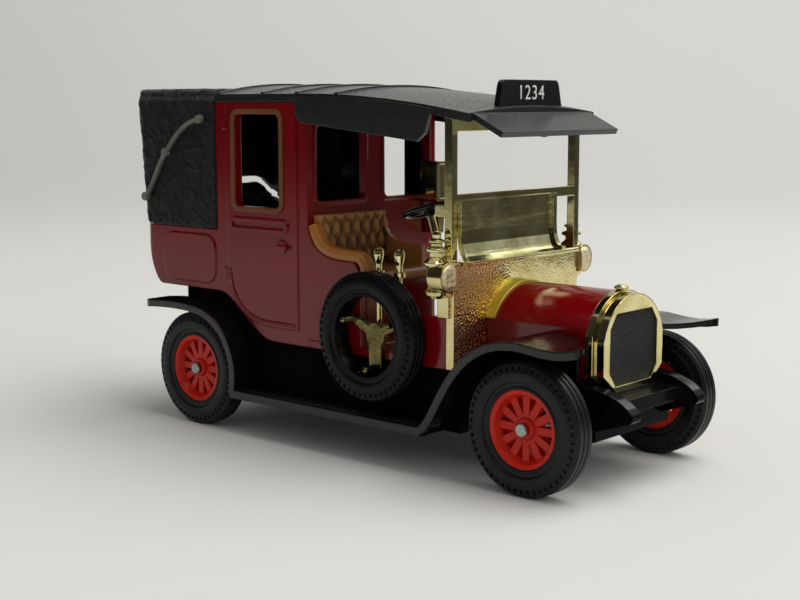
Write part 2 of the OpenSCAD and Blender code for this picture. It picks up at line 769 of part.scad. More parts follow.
// Maroon castings
door_x0 = hood_front + door_back;
door_x1 = bulkhead_x - door_front;
window_low = [hood_front + window_back, belt_z + window_sill];
window_high = [bulkhead_x - window_front, eaves_z - window_top];
side_path = bezier(
  [bulkhead_x, side_top_z], [bulkhead_x + side_len * 0.1, side_front_z],
  [bulkhead_x + side_len * 0.45, side_front_z], [bulkhead_x + side_len - side_nose, side_front_z], 8);
module tub_plan(inset) {
  rounded(
    [tub_back + inset, inset - body_half_w], [bulkhead_x + 2 * tub_corner_r, body_half_w - inset],
    max(tub_corner_r - inset, body_wall));
}
door_corner = bezier(
  [door_x0, sill_z + door_low + door_curve_h], [door_x0, sill_z + door_low + door_curve_h * 0.4],
  [door_x0 + door_curve_l * 0.4, sill_z + door_low], [door_x0 + door_curve_l, sill_z + door_low], 8);
module door_panel() {
  difference() {
    polygon(concat(
      door_corner,
      [[door_x1, sill_z + door_low], [door_x1, eaves_z - door_relief], [door_x0, eaves_z - door_relief]]));
    rounded(window_low, window_high, window_r);
  }
}
module side_details() {
  skin = body_half_w - body_wall / 2;
  face = body_half_w + door_relief;
  along_y(skin, face) {
    door_panel();
    rounded(
      [tub_back + panel_back, tub_z + panel_margin],
      [hood_front - panel_front, belt_z - panel_margin], panel_r);
  }
  along_y(skin, face + bead_relief) polygon(strip(
    moved(concat(door_corner, [[door_x1 - bead_in, sill_z + door_low]]), bead_in), bead_w));
  along_y(skin, face + waist_relief) difference() {
    rounded([hood_front + waist_back, waist_z], [bulkhead_x - waist_front, waist_z + waist_h], waist_h / 2);
    rounded(
      [hood_front + waist_back + waist_ring, waist_z + waist_ring],
      [bulkhead_x - waist_front - waist_ring, waist_z + waist_h - waist_ring], waist_h / 2);
  }
  along_y(skin, face + waist_relief) translate([bulkhead_x - handle_x, handle_z]) circle(handle_r);
  along_y(skin, face + 2 * waist_relief)
    rounded(
      [bulkhead_x - handle_x - handle_l / 2, handle_z - handle_r / 3],
      [bulkhead_x - handle_x + handle_l / 2, handle_z + handle_r / 3], handle_r);
  for (s = hinge_shares)
    translate([door_x0 - hinge_r / 2, body_half_w, sill_z + s * (eaves_z - sill_z) - hinge_h / 2])
      cylinder(h = hinge_h, r = hinge_r);
}
module body_shell() {
  inner_path = moved(under_path, body_wall);
  inner_low = inner_path[len(inner_path) - 1].y;
  color("#6d0f17") {
    difference() {
      intersection() {
        along_y(-body_half_w, body_half_w) polygon(concat(
          under_path, [[bulkhead_x, eaves_z], [hood_front, eaves_z], [hood_front, belt_z]]));
        linear_extrude(2 * eaves_z) tub_plan(0);
      }
      intersection() {
        along_y(-inner_half_w, inner_half_w) polygon(concat(
          [[tub_back + body_wall, eaves_z + overrun]],
          [for (p = inner_path) if (p.x < bulkhead_x - body_wall) p],
          [[bulkhead_x - body_wall, inner_low], [bulkhead_x - body_wall, eaves_z + overrun]]));
        linear_extrude(2 * eaves_z) tub_plan(body_wall);
      }
      along_y(-2 * body_half_w, 2 * body_half_w) rounded(window_low, window_high, window_r);
      along_x(bulkhead_x - body_wall - overrun, bulkhead_x + overrun) both_windows();
    }
    along_x(bulkhead_x - body_wall, bulkhead_x) difference() {
      polygon(concat(
        [[inner_half_w, eaves_z - overrun]],
        [for (i = [0 : 12]) let (y = inner_half_w * (1 - i / 6))
          [y, roof_top(bulkhead_x, y) - roof_t - fit_gap]],
        [[-inner_half_w, eaves_z - overrun]]));
      both_windows();
    }
    along_x(bulkhead_x - body_wall / 2, bulkhead_x + door_relief) difference() {
      both_windows(bulkhead_frame_w);
      both_windows();
    }
    both_sides() side_details();
    along_y(-body_half_w, -inner_half_w) polygon(concat(
      side_path,
      [[bulkhead_x + side_len, side_front_z - side_nose_h], [bulkhead_x + side_len, sill_z + cab_floor_t],
       [bulkhead_x - body_wall / 2, sill_z + cab_floor_t], [bulkhead_x - body_wall / 2, side_top_z]]));
  }
}
module cab_floor() {
  color("#6d0f17") {
    block([bulkhead_x, -body_half_w, sill_z], [dash_x, body_half_w, sill_z + cab_floor_t]);
    both_sides() along_y(inner_half_w, body_half_w) {
      rounded([dash_x - footwell_len, sill_z], [dash_x, footwell_top_z], footwell_r);
      translate([dash_x - footwell_len / 2, sill_z]) square([footwell_len / 2, footwell_top_z - sill_z]);
      translate([dash_x - footwell_len, sill_z]) square([footwell_len / 2, footwell_r]);
    }
    block([bulkhead_x, -inner_half_w, sill_z], [bulkhead_x + seat_box_len, seat_left, seat_box_top]);
  }
}
module both_windows(grow = 0) {
  for (s = [0, 1]) mirror([s, 0]) rounded(
    [bulkhead_window_in - grow, bulkhead_window_low - grow],
    [bulkhead_window_out + grow, bulkhead_window_top + grow], window_r);
}
module window_trim() {
  face = body_half_w + door_relief;
  color("#8a4a1e") along_y(face, face + trim_t) difference() {
    rounded(window_low - [trim_w, trim_w], window_high + [trim_w, trim_w], window_r + trim_w);
    rounded(window_low, window_high, window_r);
  }
}
module window_trim_right() { mirror([0, 1, 0]) window_trim(); }
module window_trim_left() { window_trim(); }

module bonnet_section(grow = 0) {
  half = bonnet_half_w + grow;
  top = bonnet_top_z + grow;
  r = (half * half + bonnet_crease * bonnet_crease) / (2 * bonnet_crease);
  intersection() {
    union() {
      translate([0, top - r]) circle(r, $fn = 96);
      translate([-half, sill_z]) square([2 * half, top - bonnet_crease - sill_z]);
    }
    translate([-half, sill_z]) square([2 * half, top]);
  }
}
module bonnet() {
  color("#6d0f17") difference() {
    along_x(dash_front, bonnet_front) bonnet_section();
    along_x(dash_front + body_wall, bonnet_front - body_wall)
      translate([0, -body_wall]) bonnet_section(-body_wall);
  }
}
module bonnet_strap() {
  color("#c9b24a") along_x(dash_front, dash_front + strap_w) difference() {
    bonnet_section(strap_t);
    bonnet_section();
    translate([-2 * bonnet_half_w, 0]) square([4 * bonnet_half_w, bonnet_top_z - bonnet_crease]);
  }
}

// Gold-plated front
module radiator_outline(grow = 0) {
  half = radiator_half_w + grow;
  top = radiator_top_z + grow;
  r = (half * half + radiator_shoulder * radiator_shoulder) / (2 * radiator_shoulder);
  intersection() {
    union() {
      translate([0, top - r]) circle(r, $fn = 96);
      polygon([
        [-half, top - radiator_shoulder], [-half, radiator_chamfer_z], [-radiator_low_half_w, radiator_low_z],
        [radiator_low_half_w, radiator_low_z], [half, radiator_chamfer_z], [half, top - radiator_shoulder]
      ]);
    }
    polygon([
      [-half, 2 * top], [-half, radiator_chamfer_z], [-radiator_low_half_w, radiator_low_z],
      [radiator_low_half_w, radiator_low_z], [half, radiator_chamfer_z], [half, 2 * top]
    ]);
  }
}
module grille_outline(grow = 0) {
  half = grille_half_w + grow;
  top = grille_top_z + grow;
  low = grille_low_z - grow;
  polygon([
    [-half, low + grille_corner_h], [grille_corner_w - half, low], [half - grille_corner_w, low],
    [half, low + grille_corner_h], [half, top - grille_corner_h], [half - grille_corner_w, top],
    [grille_corner_w - half, top], [-half, top - grille_corner_h]
  ]);
}
module radiator_shell() {
  color("#d2bf5c") difference() {
    union() {
      along_x(bonnet_front, bonnet_front + radiator_back_d) radiator_outline(radiator_step);
      along_x(bonnet_front, radiator_front - grille_set) radiator_outline(-radiator_groove_d);
      along_x(bonnet_front + radiator_back_d + radiator_groove, radiator_front) radiator_outline();
    }
    along_x(radiator_front - grille_set - grille_d, radiator_front + overrun) grille_outline();
  }
}
module radiator_grille() {
  pitch = (grille_top_z - grille_low_z) / fin_count;
  back = radiator_front - grille_set - grille_d;
  face = radiator_front - grille_set;
  color("#17181a") intersection() {
    along_x(back, face) grille_outline();
    union() {
      block([back, -grille_half_w, grille_low_z], [face - fin_h, grille_half_w, grille_top_z]);
      for (i = [0 : fin_count - 1])
        translate([0, 0, grille_low_z + (i + 0.5 - fin_fill_share / 2) * pitch])
          block([back, -grille_half_w, 0], [face, grille_half_w, fin_fill_share * pitch]);
    }
  }
}
module filler_cap() {
  x = bonnet_front + radiator_back_d / 2;
  top = radiator_top_z + radiator_step;
  color("#d2bf5c") translate([x, 0, top]) {
    cylinder(h = cap_neck_h + cap_h / 4, r = cap_neck_r);
    translate([0, 0, cap_neck_h]) cylinder(h = cap_h / 2, r = cap_r);
    translate([0, 0, cap_neck_h + cap_h / 2]) cylinder(h = cap_h / 2, r1 = cap_r, r2 = cap_r / 2);
  }
}
module dash_panel() {
  color("#d2bf5c") {
    along_x(dash_x, dash_front) difference() {
      rounded([-dash_half_w, sill_z - dash_corner_r], [dash_half_w, dash_top_z], dash_corner_r);
      translate([-2 * dash_half_w, sill_z - 2 * dash_corner_r]) square([4 * dash_half_w, 2 * dash_corner_r]);
    }
    along_y(post_w - screen_half_w, screen_half_w - post_w) rounded(
      [dash_front - dash_ledge_h, dash_top_z - dash_ledge_h], [dash_front + dash_ledge_out, dash_top_z],
      dash_ledge_h / 2);
    both_sides() block(
      [dash_x - post_d, inner_half_w, footwell_top_z], [dash_x + dash_t / 2, screen_half_w, dash_top_z]);
  }
}
function screen_top(x) = roof_edge(x) - roof_edge_h - screen_seat;
module windscreen_frame() {
  x1 = dash_x + post_d;
  color("#d2bf5c") {
    both_sides() along_y(screen_half_w - post_w, screen_half_w) polygon([
      [dash_x, dash_top_z], [x1, dash_top_z], [x1, screen_top(x1)], [dash_x, screen_top(dash_x)]
    ]);
    along_y(-screen_half_w, screen_half_w) {
      polygon([
        [dash_x, screen_top(x1) - screen_bar_h], [x1, screen_top(x1) - screen_bar_h],
        [x1, screen_top(x1)], [dash_x, screen_top(dash_x)]
      ]);
      translate([dash_x, screen_mid_z]) square([post_d, screen_mid_h]);
    }
    translate([0, -screen_half_w, screen_mid_z - lug_h])
      block([dash_x - lug_l, 0, 0], [dash_x + post_d / 2, post_w, lug_h]);
  }
}
module scuttle_cowl() {
  x = dash_x + post_d + cowl_t;
  low = dash_top_z + cowl_rise;
  path = concat(
    [[x, screen_mid_z + screen_mid_h / 2]],
    bezier(
      [x, low + cowl_curve_h], [x, low + cowl_curve_h / 3],
      [x + cowl_out / 3, low], [x + cowl_out, low], 8));
  rim = moved(path, cowl_rim_t);
  right = post_w - screen_half_w;
  color("#cdbb62") difference() {
    union() {
      along_y(right, cowl_left) polygon(strip(path, -cowl_t));
      along_y(cowl_left - cowl_rim, cowl_left) polygon(strip(rim, -cowl_t - cowl_rim_t));
    }
    block([dash_x - overrun, -2 * screen_half_w, 0], [half_l, 2 * screen_half_w, dash_top_z]);
  }
}
module lamp() {
  lens_x = dash_front + lens_out;
  color("#d2bf5c") difference() {
    union() {
      translate([lamp_x, lamp_y, lamp_z]) turned(lamp_shares, lamp_r, lamp_h);
      translate([lamp_x, lamp_y, lens_z]) rotate([0, 90, 0])
        cylinder(h = lens_x - lamp_x, r = lens_r + lens_bezel);
    }
    block([0, 0, 0], [half_l, lamp_flat, eaves_z]);
    translate([lens_x - lens_t, lamp_y, lens_z]) rotate([0, 90, 0])
      cylinder(h = lens_t + overrun, r = lens_r);
  }
}
module lamp_lens() {
  lens_x = dash_front + lens_out;
  color("#e6dca0") difference() {
    translate([lens_x - lens_t, lamp_y, lens_z]) rotate([0, 90, 0]) {
      cylinder(h = lens_t, r = lens_r);
      translate([0, 0, lens_t]) cylinder(h = lens_t / 2, r1 = lens_r, r2 = lens_r * 0.7);
    }
    block([0, 0, 0], [half_l, lamp_flat, eaves_z]);
  }
}
module lamp_right() { mirror([0, 1, 0]) lamp(); }
module lamp_left() { lamp(); }
module lamp_lens_right() { mirror([0, 1, 0]) lamp_lens(); }
module lamp_lens_left() { lamp_lens(); }

// Controls
floor_z = sill_z + cab_floor_t;
module on_column() {
  translate([wheel_x, wheel_y, wheel_z]) rotate([0, -wheel_rake, 0]) children();
}
module steering_column() {
  long = (wheel_z - floor_z) / cos(wheel_rake);
  foot_x = wheel_x + (wheel_z - floor_z) * tan(wheel_rake);
  color("#c9b24a") {
    difference() {
      on_column() translate([0, 0, -long - overrun]) cylinder(h = long + overrun - wheel_hub_h, r = column_r);
      block([0, -body_half_w, 0], [half_l, body_half_w, floor_z]);
    }
    translate([foot_x, wheel_y, floor_z]) cylinder(h = column_foot_h, r1 = column_foot_r, r2 = column_r);
  }
}
module steering_wheel() {
  color("#161618") on_column() {
    rotate_extrude() translate([wheel_r - wheel_tube_r, 0]) circle(wheel_tube_r, $fn = 24);
    translate([0, 0, -wheel_hub_h]) cylinder(h = wheel_hub_h + wheel_tube_r, r = wheel_hub_r);
    for (a = [0, 90]) rotate([0, 0, a])
      translate([0, 0, -wheel_tube_r / 2])
        block(
          [wheel_tube_r - wheel_r, -wheel_spoke_w / 2, 0],
          [wheel_r - wheel_tube_r, wheel_spoke_w / 2, wheel_tube_r]);
  }
}
module lever(x) {
  grip_z = lever_top_z - lever_knob_h;
  color("#cdbb62") translate([x, -lever_y, 0]) {
    translate([0, 0, floor_z]) cylinder(h = grip_z + lever_knob_h / 2 - floor_z, r = lever_r);
    translate([0, 0, grip_z - lever_collar_h]) cylinder(h = lever_collar_h, r = lever_collar_r);
    translate([0, 0, grip_z]) rotate_extrude() polygon(concat(
      [[0, 0]], [for (s = grip_shares) [s[0] * lever_knob_r, s[1] * lever_knob_h]]));
  }
}
module brake_lever() { lever(brake_x); }
module gear_lever() { lever(gear_x); }
module taximeter() {
  front = bulkhead_x + door_relief + meter_d;
  middle = (meter_left + meter_right) / 2;
  color("#c9b24a") {
    along_x(bulkhead_x + door_relief, front) {
      rounded([meter_right, meter_low_z], [meter_left, meter_top_z], meter_rim);
      polygon([
        [meter_right + meter_rim, meter_low_z + meter_rim], [middle - meter_foot_half_w, meter_foot_z],
        [middle + meter_foot_half_w, meter_foot_z], [meter_left - meter_rim, meter_low_z + meter_rim]
      ]);
    }
    along_x(front - meter_rim_t, front + meter_rim_t) difference() {
      rounded([meter_right, meter_low_z], [meter_left, meter_top_z], meter_rim);
      rounded(
        [meter_right + meter_rim, meter_low_z + meter_rim],
        [meter_left - meter_rim, meter_top_z - meter_rim], meter_rim);
    }
    translate([front - meter_d / 2, meter_right + meter_knob_l, meter_low_z + 3 * meter_knob_r])
      rotate([90, 0, 0]) cylinder(h = 2 * meter_knob_l, r = meter_knob_r);
  }
}

// Spare tyre: it hangs on three pegs outside the driver's side panel
spare_bore_r = rim_r * spare_r / tyre_r;
module at_spare() {
  translate([spare_x, -spare_in_y, spare_z]) rotate([90, 0, 0]) children();
}
module spare_tyre() {
  at_spare() translate([0, 0, spare_w / 2]) tyre(spare_r, spare_w, spare_bore_r);
}
module spare_bracket() {
  peg = spare_bore_r - spare_peg_r - spare_peg_set;
  color("#c9b24a") at_spare() {
    linear_extrude(spare_plate_t) {
      for (a = spare_angles) rotate(a)
        translate([-spare_arm_w / 2, -spare_arm_w / 2]) square([peg + spare_arm_w / 2, spare_arm_w]);
      circle(1.4 * spare_arm_w);
      translate([-spare_foot_w / 2, -peg]) square([spare_foot_w, peg]);
    }
    for (a = spare_angles) rotate(a) translate([peg, 0, 0]) {
      cylinder(h = spare_peg_l, r = spare_peg_r);
      translate([0, 0, spare_peg_l]) sphere(spare_peg_r, $fn = 24);
    }
  }
}

// Roof, plate and hood
function roof_under(x, y) =
  abs(y) > roof_half_w - roof_lip_w * 1.2 ? roof_edge(x) - roof_edge_h : roof_top(x, y) - roof_t;
module roof_skin() {
  edge_in = roof_half_w - roof_lip_w;
  arch_in = edge_in - roof_lip_w / 2;
  ys = concat(
    [-roof_half_w, -edge_in],
    [for (i = [0 : roof_arch_steps]) arch_in * (2 * i / roof_arch_steps - 1)],
    [edge_in, roof_half_w]);
  xs = [for (i = [0 : roof_steps]) roof_back + (roof_front - roof_back) * i / roof_steps];
  quilt(
    [for (y = ys, x = xs) [x, y, abs(y) == roof_half_w ? roof_edge(x) : roof_top(x, y)]],
    [for (y = ys, x = xs) [x, y, roof_under(x, y)]],
    roof_steps, len(ys) - 1);
}
module roof() {
  front_z = roof_edge(roof_front);
  visor_path = [
    [roof_front - roof_edge_h, front_z], [roof_front, front_z],
    [roof_front + visor_reach, front_z - visor_fall]
  ];
  flap_x0 = bulkhead_x - door_front + flap_back;
  flap_x1 = roof_front - flap_front;
  flap_z0 = roof_edge(flap_x0) - roof_edge_h - flap_back_h;
  flap_z1 = roof_edge(flap_x1) - roof_edge_h - flap_front_h;
  color("#1c1d1f") {
    roof_skin();
    along_y(-visor_half_w, visor_half_w) polygon(strip(visor_path, -visor_t));
    both_sides() along_y(roof_half_w - fit_gap, roof_half_w + flap_t) polygon(concat(
      [[flap_x0, flap_z0 + flap_corner], [flap_x0 + flap_corner, flap_z0],
       [flap_x1 - flap_slant - flap_corner, flap_z1],
       [flap_x1 - flap_slant + flap_corner / 3, flap_z1 + flap_corner]],
      [for (i = [0 : 8]) let (x = flap_x1 + (flap_x0 - flap_x1) * i / 8)
        [x, roof_edge(x) - roof_edge_h / 4]]));
    for (s = batten_shares) let (x = roof_back + s * (roof_front - roof_back))
      along_x(x - batten_w / 2, x + batten_w / 2) polygon(concat(
        [for (i = [0 : 12]) let (y = roof_half_w * (1 - i / 6)) [y, roof_top(x, y) + batten_h]],
        [for (i = [12 : -1 : 0]) let (y = roof_half_w * (1 - i / 6)) [y, roof_top(x, y) - roof_t / 2]]));
  }
}
module roof_plate() {
  x1 = roof_front - plate_set;
  x0 = x1 - plate_t;
  low = roof_top(x1, plate_half_w);
  top = roof_top(x1, 0) + plate_h;
  corner_y = plate_half_w - plate_taper - plate_r;
  color("#111113") difference() {
    along_x(x0, x1) polygon(concat(
      [[-plate_half_w, low], [plate_half_w, low]],
      arc([corner_y, top - plate_r], plate_r, 8, 90, 6),
      arc([-corner_y, top - plate_r], plate_r, 90, 172, 6)));
    translate([0, 0, fit_gap / 2]) roof_skin();
  }
}
module landau_hood() {
  half = body_half_w + hood_over;
  back_low = hood_back + hood_back_low;
  module side(inset) {
    polygon(concat(
      [[hood_front + inset, belt_z - inset]],
      arc([tub_back + hood_low_r, belt_z + hood_low_r], hood_low_r - inset, 270, 190, 6),
      [[hood_back + hood_back_low / 2 + inset, (belt_z + hood_top_z) / 2]],
      arc([hood_back + hood_top_r, hood_top_z - hood_top_r], hood_top_r - inset, 180, 90, 6),
      [[hood_front + inset, hood_top_z - inset]]));
  }
  module rear(inset) {
    rounded(
      [inset - half, belt_z - 2 * hood_top_r], [half - inset, hood_top_z - inset], hood_top_r - inset / 2);
  }
  module plan(inset) {
    rounded(
      [hood_back + inset, inset - half], [hood_front + 2 * hood_corner_r, half - inset],
      hood_corner_r - inset / 2);
  }
  slit_low = slit_rise - slit_fall;
  slit_turn = bezier(
    [slit_half_w, belt_z + slit_rise], [slit_half_w + slit_h, belt_z + slit_rise],
    [inner_half_w - slit_h, belt_z + slit_low + slit_h], [inner_half_w + slit_h / 4, belt_z + slit_low], 6);
  slit_side = bezier(
    [hood_back - overrun, belt_z + slit_low], [hood_back + slit_tail * 0.4, belt_z + slit_low],
    [hood_back + slit_tail / 2, belt_z + slit_low * 0.75],
    [hood_back + slit_tail, belt_z + slit_low * 0.35], 6);
  color("#202123") difference() {
    intersection() {
      along_y(-half, half) side(0);
      along_x(hood_back - overrun, hood_front) rear(0);
      linear_extrude(2 * hood_top_z) plan(0);
    }
    intersection() {
      along_y(-half, half) side(hood_wall);
      along_x(hood_back, hood_front + overrun) rear(hood_wall + hood_over);
      linear_extrude(2 * hood_top_z) plan(hood_wall + hood_over);
    }
    block([tub_back + body_wall, -inner_half_w, 0], [hood_front, inner_half_w, belt_z + hood_low_r]);
    along_x(hood_back - overrun, hood_back + 3 * hood_wall) polygon(strip(
      concat([[-slit_half_w, belt_z + slit_rise]], slit_turn), slit_h));
    along_y(inner_half_w, half + overrun) polygon(strip(slit_side, slit_h));
  }
}
module hood_iron() {
  face = body_half_w + hood_over;
  top_half = bezier(
    hood_iron_top, hood_iron_top + [-2 * hood_iron_bow, -hood_iron_bow / 4],
    hood_iron_knuckle + [hood_iron_bow, hood_iron_bow], hood_iron_knuckle, 10);
  low_half = bezier(
    hood_iron_knuckle, hood_iron_knuckle - [hood_iron_bow, hood_iron_bow],
    hood_iron_low + [hood_iron_bow, hood_iron_bow], hood_iron_low, 10);
  path = concat(top_half, [for (p = low_half) if (p != hood_iron_knuckle) p]);
  color("#3a3733") {
    along_y(face, face + hood_iron_t) polygon(strip(moved(path, -hood_iron_w / 2), hood_iron_w));
    for (p = [hood_iron_top, hood_iron_knuckle, hood_iron_low])
      along_y(face, face + 1.3 * hood_iron_t) translate(p) circle(hood_iron_ball_r);
  }
}
module hood_iron_right() { mirror([0, 1, 0]) hood_iron(); }
module hood_iron_left() { hood_iron(); }

// Seats: a tufted back is a slab whose face swells in diamonds
function tuft(u, v) = sqrt(abs(cos(90 * (u + v)) * cos(90 * (u - v))));
module tufted_back(y0, y1, z0, z1, t, rake) {
  columns = tuft_grid;
  rows = round(tuft_grid / 2);
  function place(i, j) = [y0 + (y1 - y0) * i / columns, z0 + (z1 - z0) * j / rows];
  function lean(j) = -rake * j / rows;
  front = [for (j = [0 : rows], i = [0 : columns]) let (p = place(i, j))
    [lean(j) + t + tuft_h * tuft((p[0] - y0) / tuft_w, tuft_rows * j / rows), p[0], p[1]]];
  back = [for (j = [0 : rows], i = [0 : columns]) let (p = place(i, j)) [lean(j), p[0], p[1]]];
  quilt(front, back, columns, rows);
}
module driver_seat() {
  right = -inner_half_w + fit_gap;
  cushion_top = seat_box_top + seat_cushion_t;
  front_x = bulkhead_x + seat_box_len + seat_cushion_over;
  arm_path = [for (p = side_path) p + [fit_gap, 0]];
  color("#9a5f24") {
    along_y(right, seat_left) rounded([bulkhead_x, seat_box_top], [front_x, cushion_top], seat_cushion_t / 2);
    translate([bulkhead_x + seat_back_rake, 0, 0])
      tufted_back(
        right, seat_left, cushion_top - seat_cushion_t / 2, seat_back_top, seat_back_t, seat_back_rake);
    along_y(right - body_wall, right + seat_arm_w - body_wall) polygon(strip(arm_path, seat_arm_h));
    for (y0 = [right, seat_left - seat_arm_w / 2]) along_y(y0, y0 + seat_arm_w / 2) polygon(concat(
      moved(arm_path, seat_arm_h / 2),
      [[bulkhead_x + side_len - side_nose, seat_box_top + seat_cushion_t / 2],
       [bulkhead_x + fit_gap, seat_box_top + seat_cushion_t / 2]]));
    along_y(seat_left - seat_arm_w / 2, seat_left) polygon(strip(arm_path, seat_arm_h));
  }
}
module rear_seat() {
  half = inner_half_w - fit_gap;
  low = tub_z + body_wall;
  x0 = tub_back + body_wall + tub_curve * 0.4;
  color("#9a5f24") {
    along_y(-half, half) rounded([sweep_x0 - rear_seat_len, low], [sweep_x0, rear_seat_z], seat_cushion_t);
    translate([sweep_x0 - rear_seat_len, 0, 0])
      tufted_back(-half, half, low, rear_seat_top, rear_back_t, rear_back_t);
  }
}

chassis();
base_plate();
rivets();
front_axle();
rear_axle();
wheel_front_right();
wheel_front_left();
wheel_rear_right();
wheel_rear_left();
tyre_front_right();
tyre_front_left();
tyre_rear_right();
tyre_rear_left();
body_shell();
cab_floor();
bonnet();
window_trim_right();
window_trim_left();
radiator_shell();
radiator_grille();
filler_cap();
bonnet_strap();
dash_panel();
windscreen_frame();
scuttle_cowl();
lamp_right();
lamp_left();
lamp_lens_right();
lamp_lens_left();
steering_column();
steering_wheel();
brake_lever();
gear_lever();
taximeter();
spare_tyre();
spare_bracket();
roof();
roof_plate();
landau_hood();
hood_iron_right();
hood_iron_left();
driver_seat();
rear_seat();
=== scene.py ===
"""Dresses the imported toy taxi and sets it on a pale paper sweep.

Lengths are in metres, small ones written as millimetres times MM. +X is forward, +Y the car's left and +Z up.
"""
import math

import bmesh
import bpy
import numpy as np
from mathutils import Matrix, Vector, noise


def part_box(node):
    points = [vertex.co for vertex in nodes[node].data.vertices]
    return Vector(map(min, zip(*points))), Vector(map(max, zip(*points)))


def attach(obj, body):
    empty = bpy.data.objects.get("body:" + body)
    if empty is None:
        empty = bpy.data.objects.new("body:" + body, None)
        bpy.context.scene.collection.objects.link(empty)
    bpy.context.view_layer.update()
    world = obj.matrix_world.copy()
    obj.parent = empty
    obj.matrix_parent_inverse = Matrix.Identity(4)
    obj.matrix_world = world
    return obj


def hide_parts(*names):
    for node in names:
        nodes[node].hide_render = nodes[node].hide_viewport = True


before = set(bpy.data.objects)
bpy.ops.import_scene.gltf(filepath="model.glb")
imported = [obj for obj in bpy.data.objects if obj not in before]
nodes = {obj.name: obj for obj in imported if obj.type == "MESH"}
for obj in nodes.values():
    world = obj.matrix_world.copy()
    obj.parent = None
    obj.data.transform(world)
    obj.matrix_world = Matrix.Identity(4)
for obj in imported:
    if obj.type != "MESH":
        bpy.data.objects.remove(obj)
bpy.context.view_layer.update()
MM = 0.001
WHEELS = [f"{end}_{side}" for end in ("front", "rear") for side in ("right", "left")]


# Shader nodes
def new_material(name):
    material = bpy.data.materials.new(name)
    material.use_nodes = True
    tree = material.node_tree
    return material, tree, tree.nodes["Principled BSDF"]


def add(tree, kind, **settings):
    """A new node. Each setting is the value of an input or, where no input has that name, a property."""
    node = tree.nodes.new(kind)
    for key, value in settings.items():
        if key in node.inputs:
            node.inputs[key].default_value = value
        else:
            setattr(node, key, value)
    return node


def object_coords(tree):
    return add(tree, "ShaderNodeTexCoord").outputs["Object"]


def stretched(tree, scales):
    """Object coordinates squeezed by axis, for streaks."""
    node = add(tree, "ShaderNodeMapping", Scale=scales)
    tree.links.new(object_coords(tree), node.inputs["Vector"])
    return node.outputs["Vector"]


def split(tree, vector):
    node = add(tree, "ShaderNodeSeparateXYZ")
    tree.links.new(vector, node.inputs["Vector"])
    return node.outputs["X"], node.outputs["Y"], node.outputs["Z"]


def axes(tree):
    return split(tree, object_coords(tree))


def facing(tree, normal="True Normal"):
    """Which way a face looks; "Normal" gives the smoothed direction."""
    return split(tree, add(tree, "ShaderNodeNewGeometry").outputs[normal])


def noise_tex(tree, scale, detail=4.0, roughness=0.55, coords=None):
    tex = add(tree, "ShaderNodeTexNoise", Scale=scale, Detail=detail, Roughness=roughness)
    tree.links.new(coords or object_coords(tree), tex.inputs["Vector"])
    return tex.outputs["Fac"]


def voronoi_tex(tree, scale, feature="F1"):
    tex = add(tree, "ShaderNodeTexVoronoi", feature=feature, Scale=scale)
    tree.links.new(object_coords(tree), tex.inputs["Vector"])
    return tex.outputs["Distance"]


def ramp(tree, value, first, last):
    """A colour between two stops, each a place on the ramp and its colour."""
    node = add(tree, "ShaderNodeValToRGB")
    for element, (place, colour) in zip(node.color_ramp.elements, (first, last)):
        element.position = place
        element.color = (*colour, 1.0)
    tree.links.new(value, node.inputs["Fac"])
    return node.outputs["Color"]


def spread(tree, value, low, high, start=0.0, end=1.0):
    """low to high as the value goes from start to end."""
    node = add(tree, "ShaderNodeMapRange")
    node.inputs["From Min"].default_value = start
    node.inputs["From Max"].default_value = end
    node.inputs["To Min"].default_value = low
    node.inputs["To Max"].default_value = high
    tree.links.new(value, node.inputs["Value"])
    return node.outputs["Result"]


def maths(tree, operation, first, second=None):
    node = add(tree, "ShaderNodeMath", operation=operation)
    for index, value in enumerate((first, second)):
        if value is None:
            continue
        if isinstance(value, float):
            node.inputs[index].default_value = value
        else:
            tree.links.new(value, node.inputs[index])
    return node.outputs["Value"]


def times(tree, first, second):
    return maths(tree, "MULTIPLY", first, second)


def within(tree, value, limit):
    """1 where the value is nearer to 0 than the limit, 0 elsewhere."""
    return maths(tree, "LESS_THAN", maths(tree, "ABSOLUTE", value), limit)


# The mix node has inputs A and B for each kind of value; these are the colour ones
MIX_A, MIX_B, MIX_RESULT = 6, 7, 2


def blend(tree, share, first, second):
    node = add(tree, "ShaderNodeMix", data_type="RGBA")
    tree.links.new(share, node.inputs["Factor"])
    for socket, value in ((node.inputs[MIX_A], first), (node.inputs[MIX_B], second)):
        if isinstance(value, tuple):
            socket.default_value = (*value, 1.0)
        else:
            tree.links.new(value, socket)
    return node.outputs[MIX_RESULT]


def bump(tree, shader, height, strength, distance, before=None):
    node = add(tree, "ShaderNodeBump", Distance=distance)
    if isinstance(strength, float):
        node.inputs["Strength"].default_value = strength
    else:
        tree.links.new(strength, node.inputs["Strength"])
    tree.links.new(height, node.inputs["Height"])
    if before is not None:
        tree.links.new(before, node.inputs["Normal"])
    tree.links.new(node.outputs["Normal"], shader.inputs["Normal"])
    return node.outputs["Normal"]


def soft_edge(tree, radius=0.2 * MM):
    """Normals rounded over sharp edges, as castings and mouldings have them."""
    return add(tree, "ShaderNodeBevel", samples=6, Radius=radius).outputs["Normal"]


DUST = (0.5, 0.5, 0.48)


def dusted(tree, colour, amount, scale, size, share):
    """The colour with small round specks of dust, in patches only."""
    core, patch_scale, patch_edge = 0.7 * size, 0.31 * scale, 0.02
    dots = spread(tree, voronoi_tex(tree, scale), 1.0, 0.0, core, size)
    patches = spread(tree, noise_tex(tree, patch_scale, detail=2.0), 0.0, 1.0, share, share + patch_edge)
    return blend(tree, times(tree, times(tree, dots, patches), amount), colour, DUST)


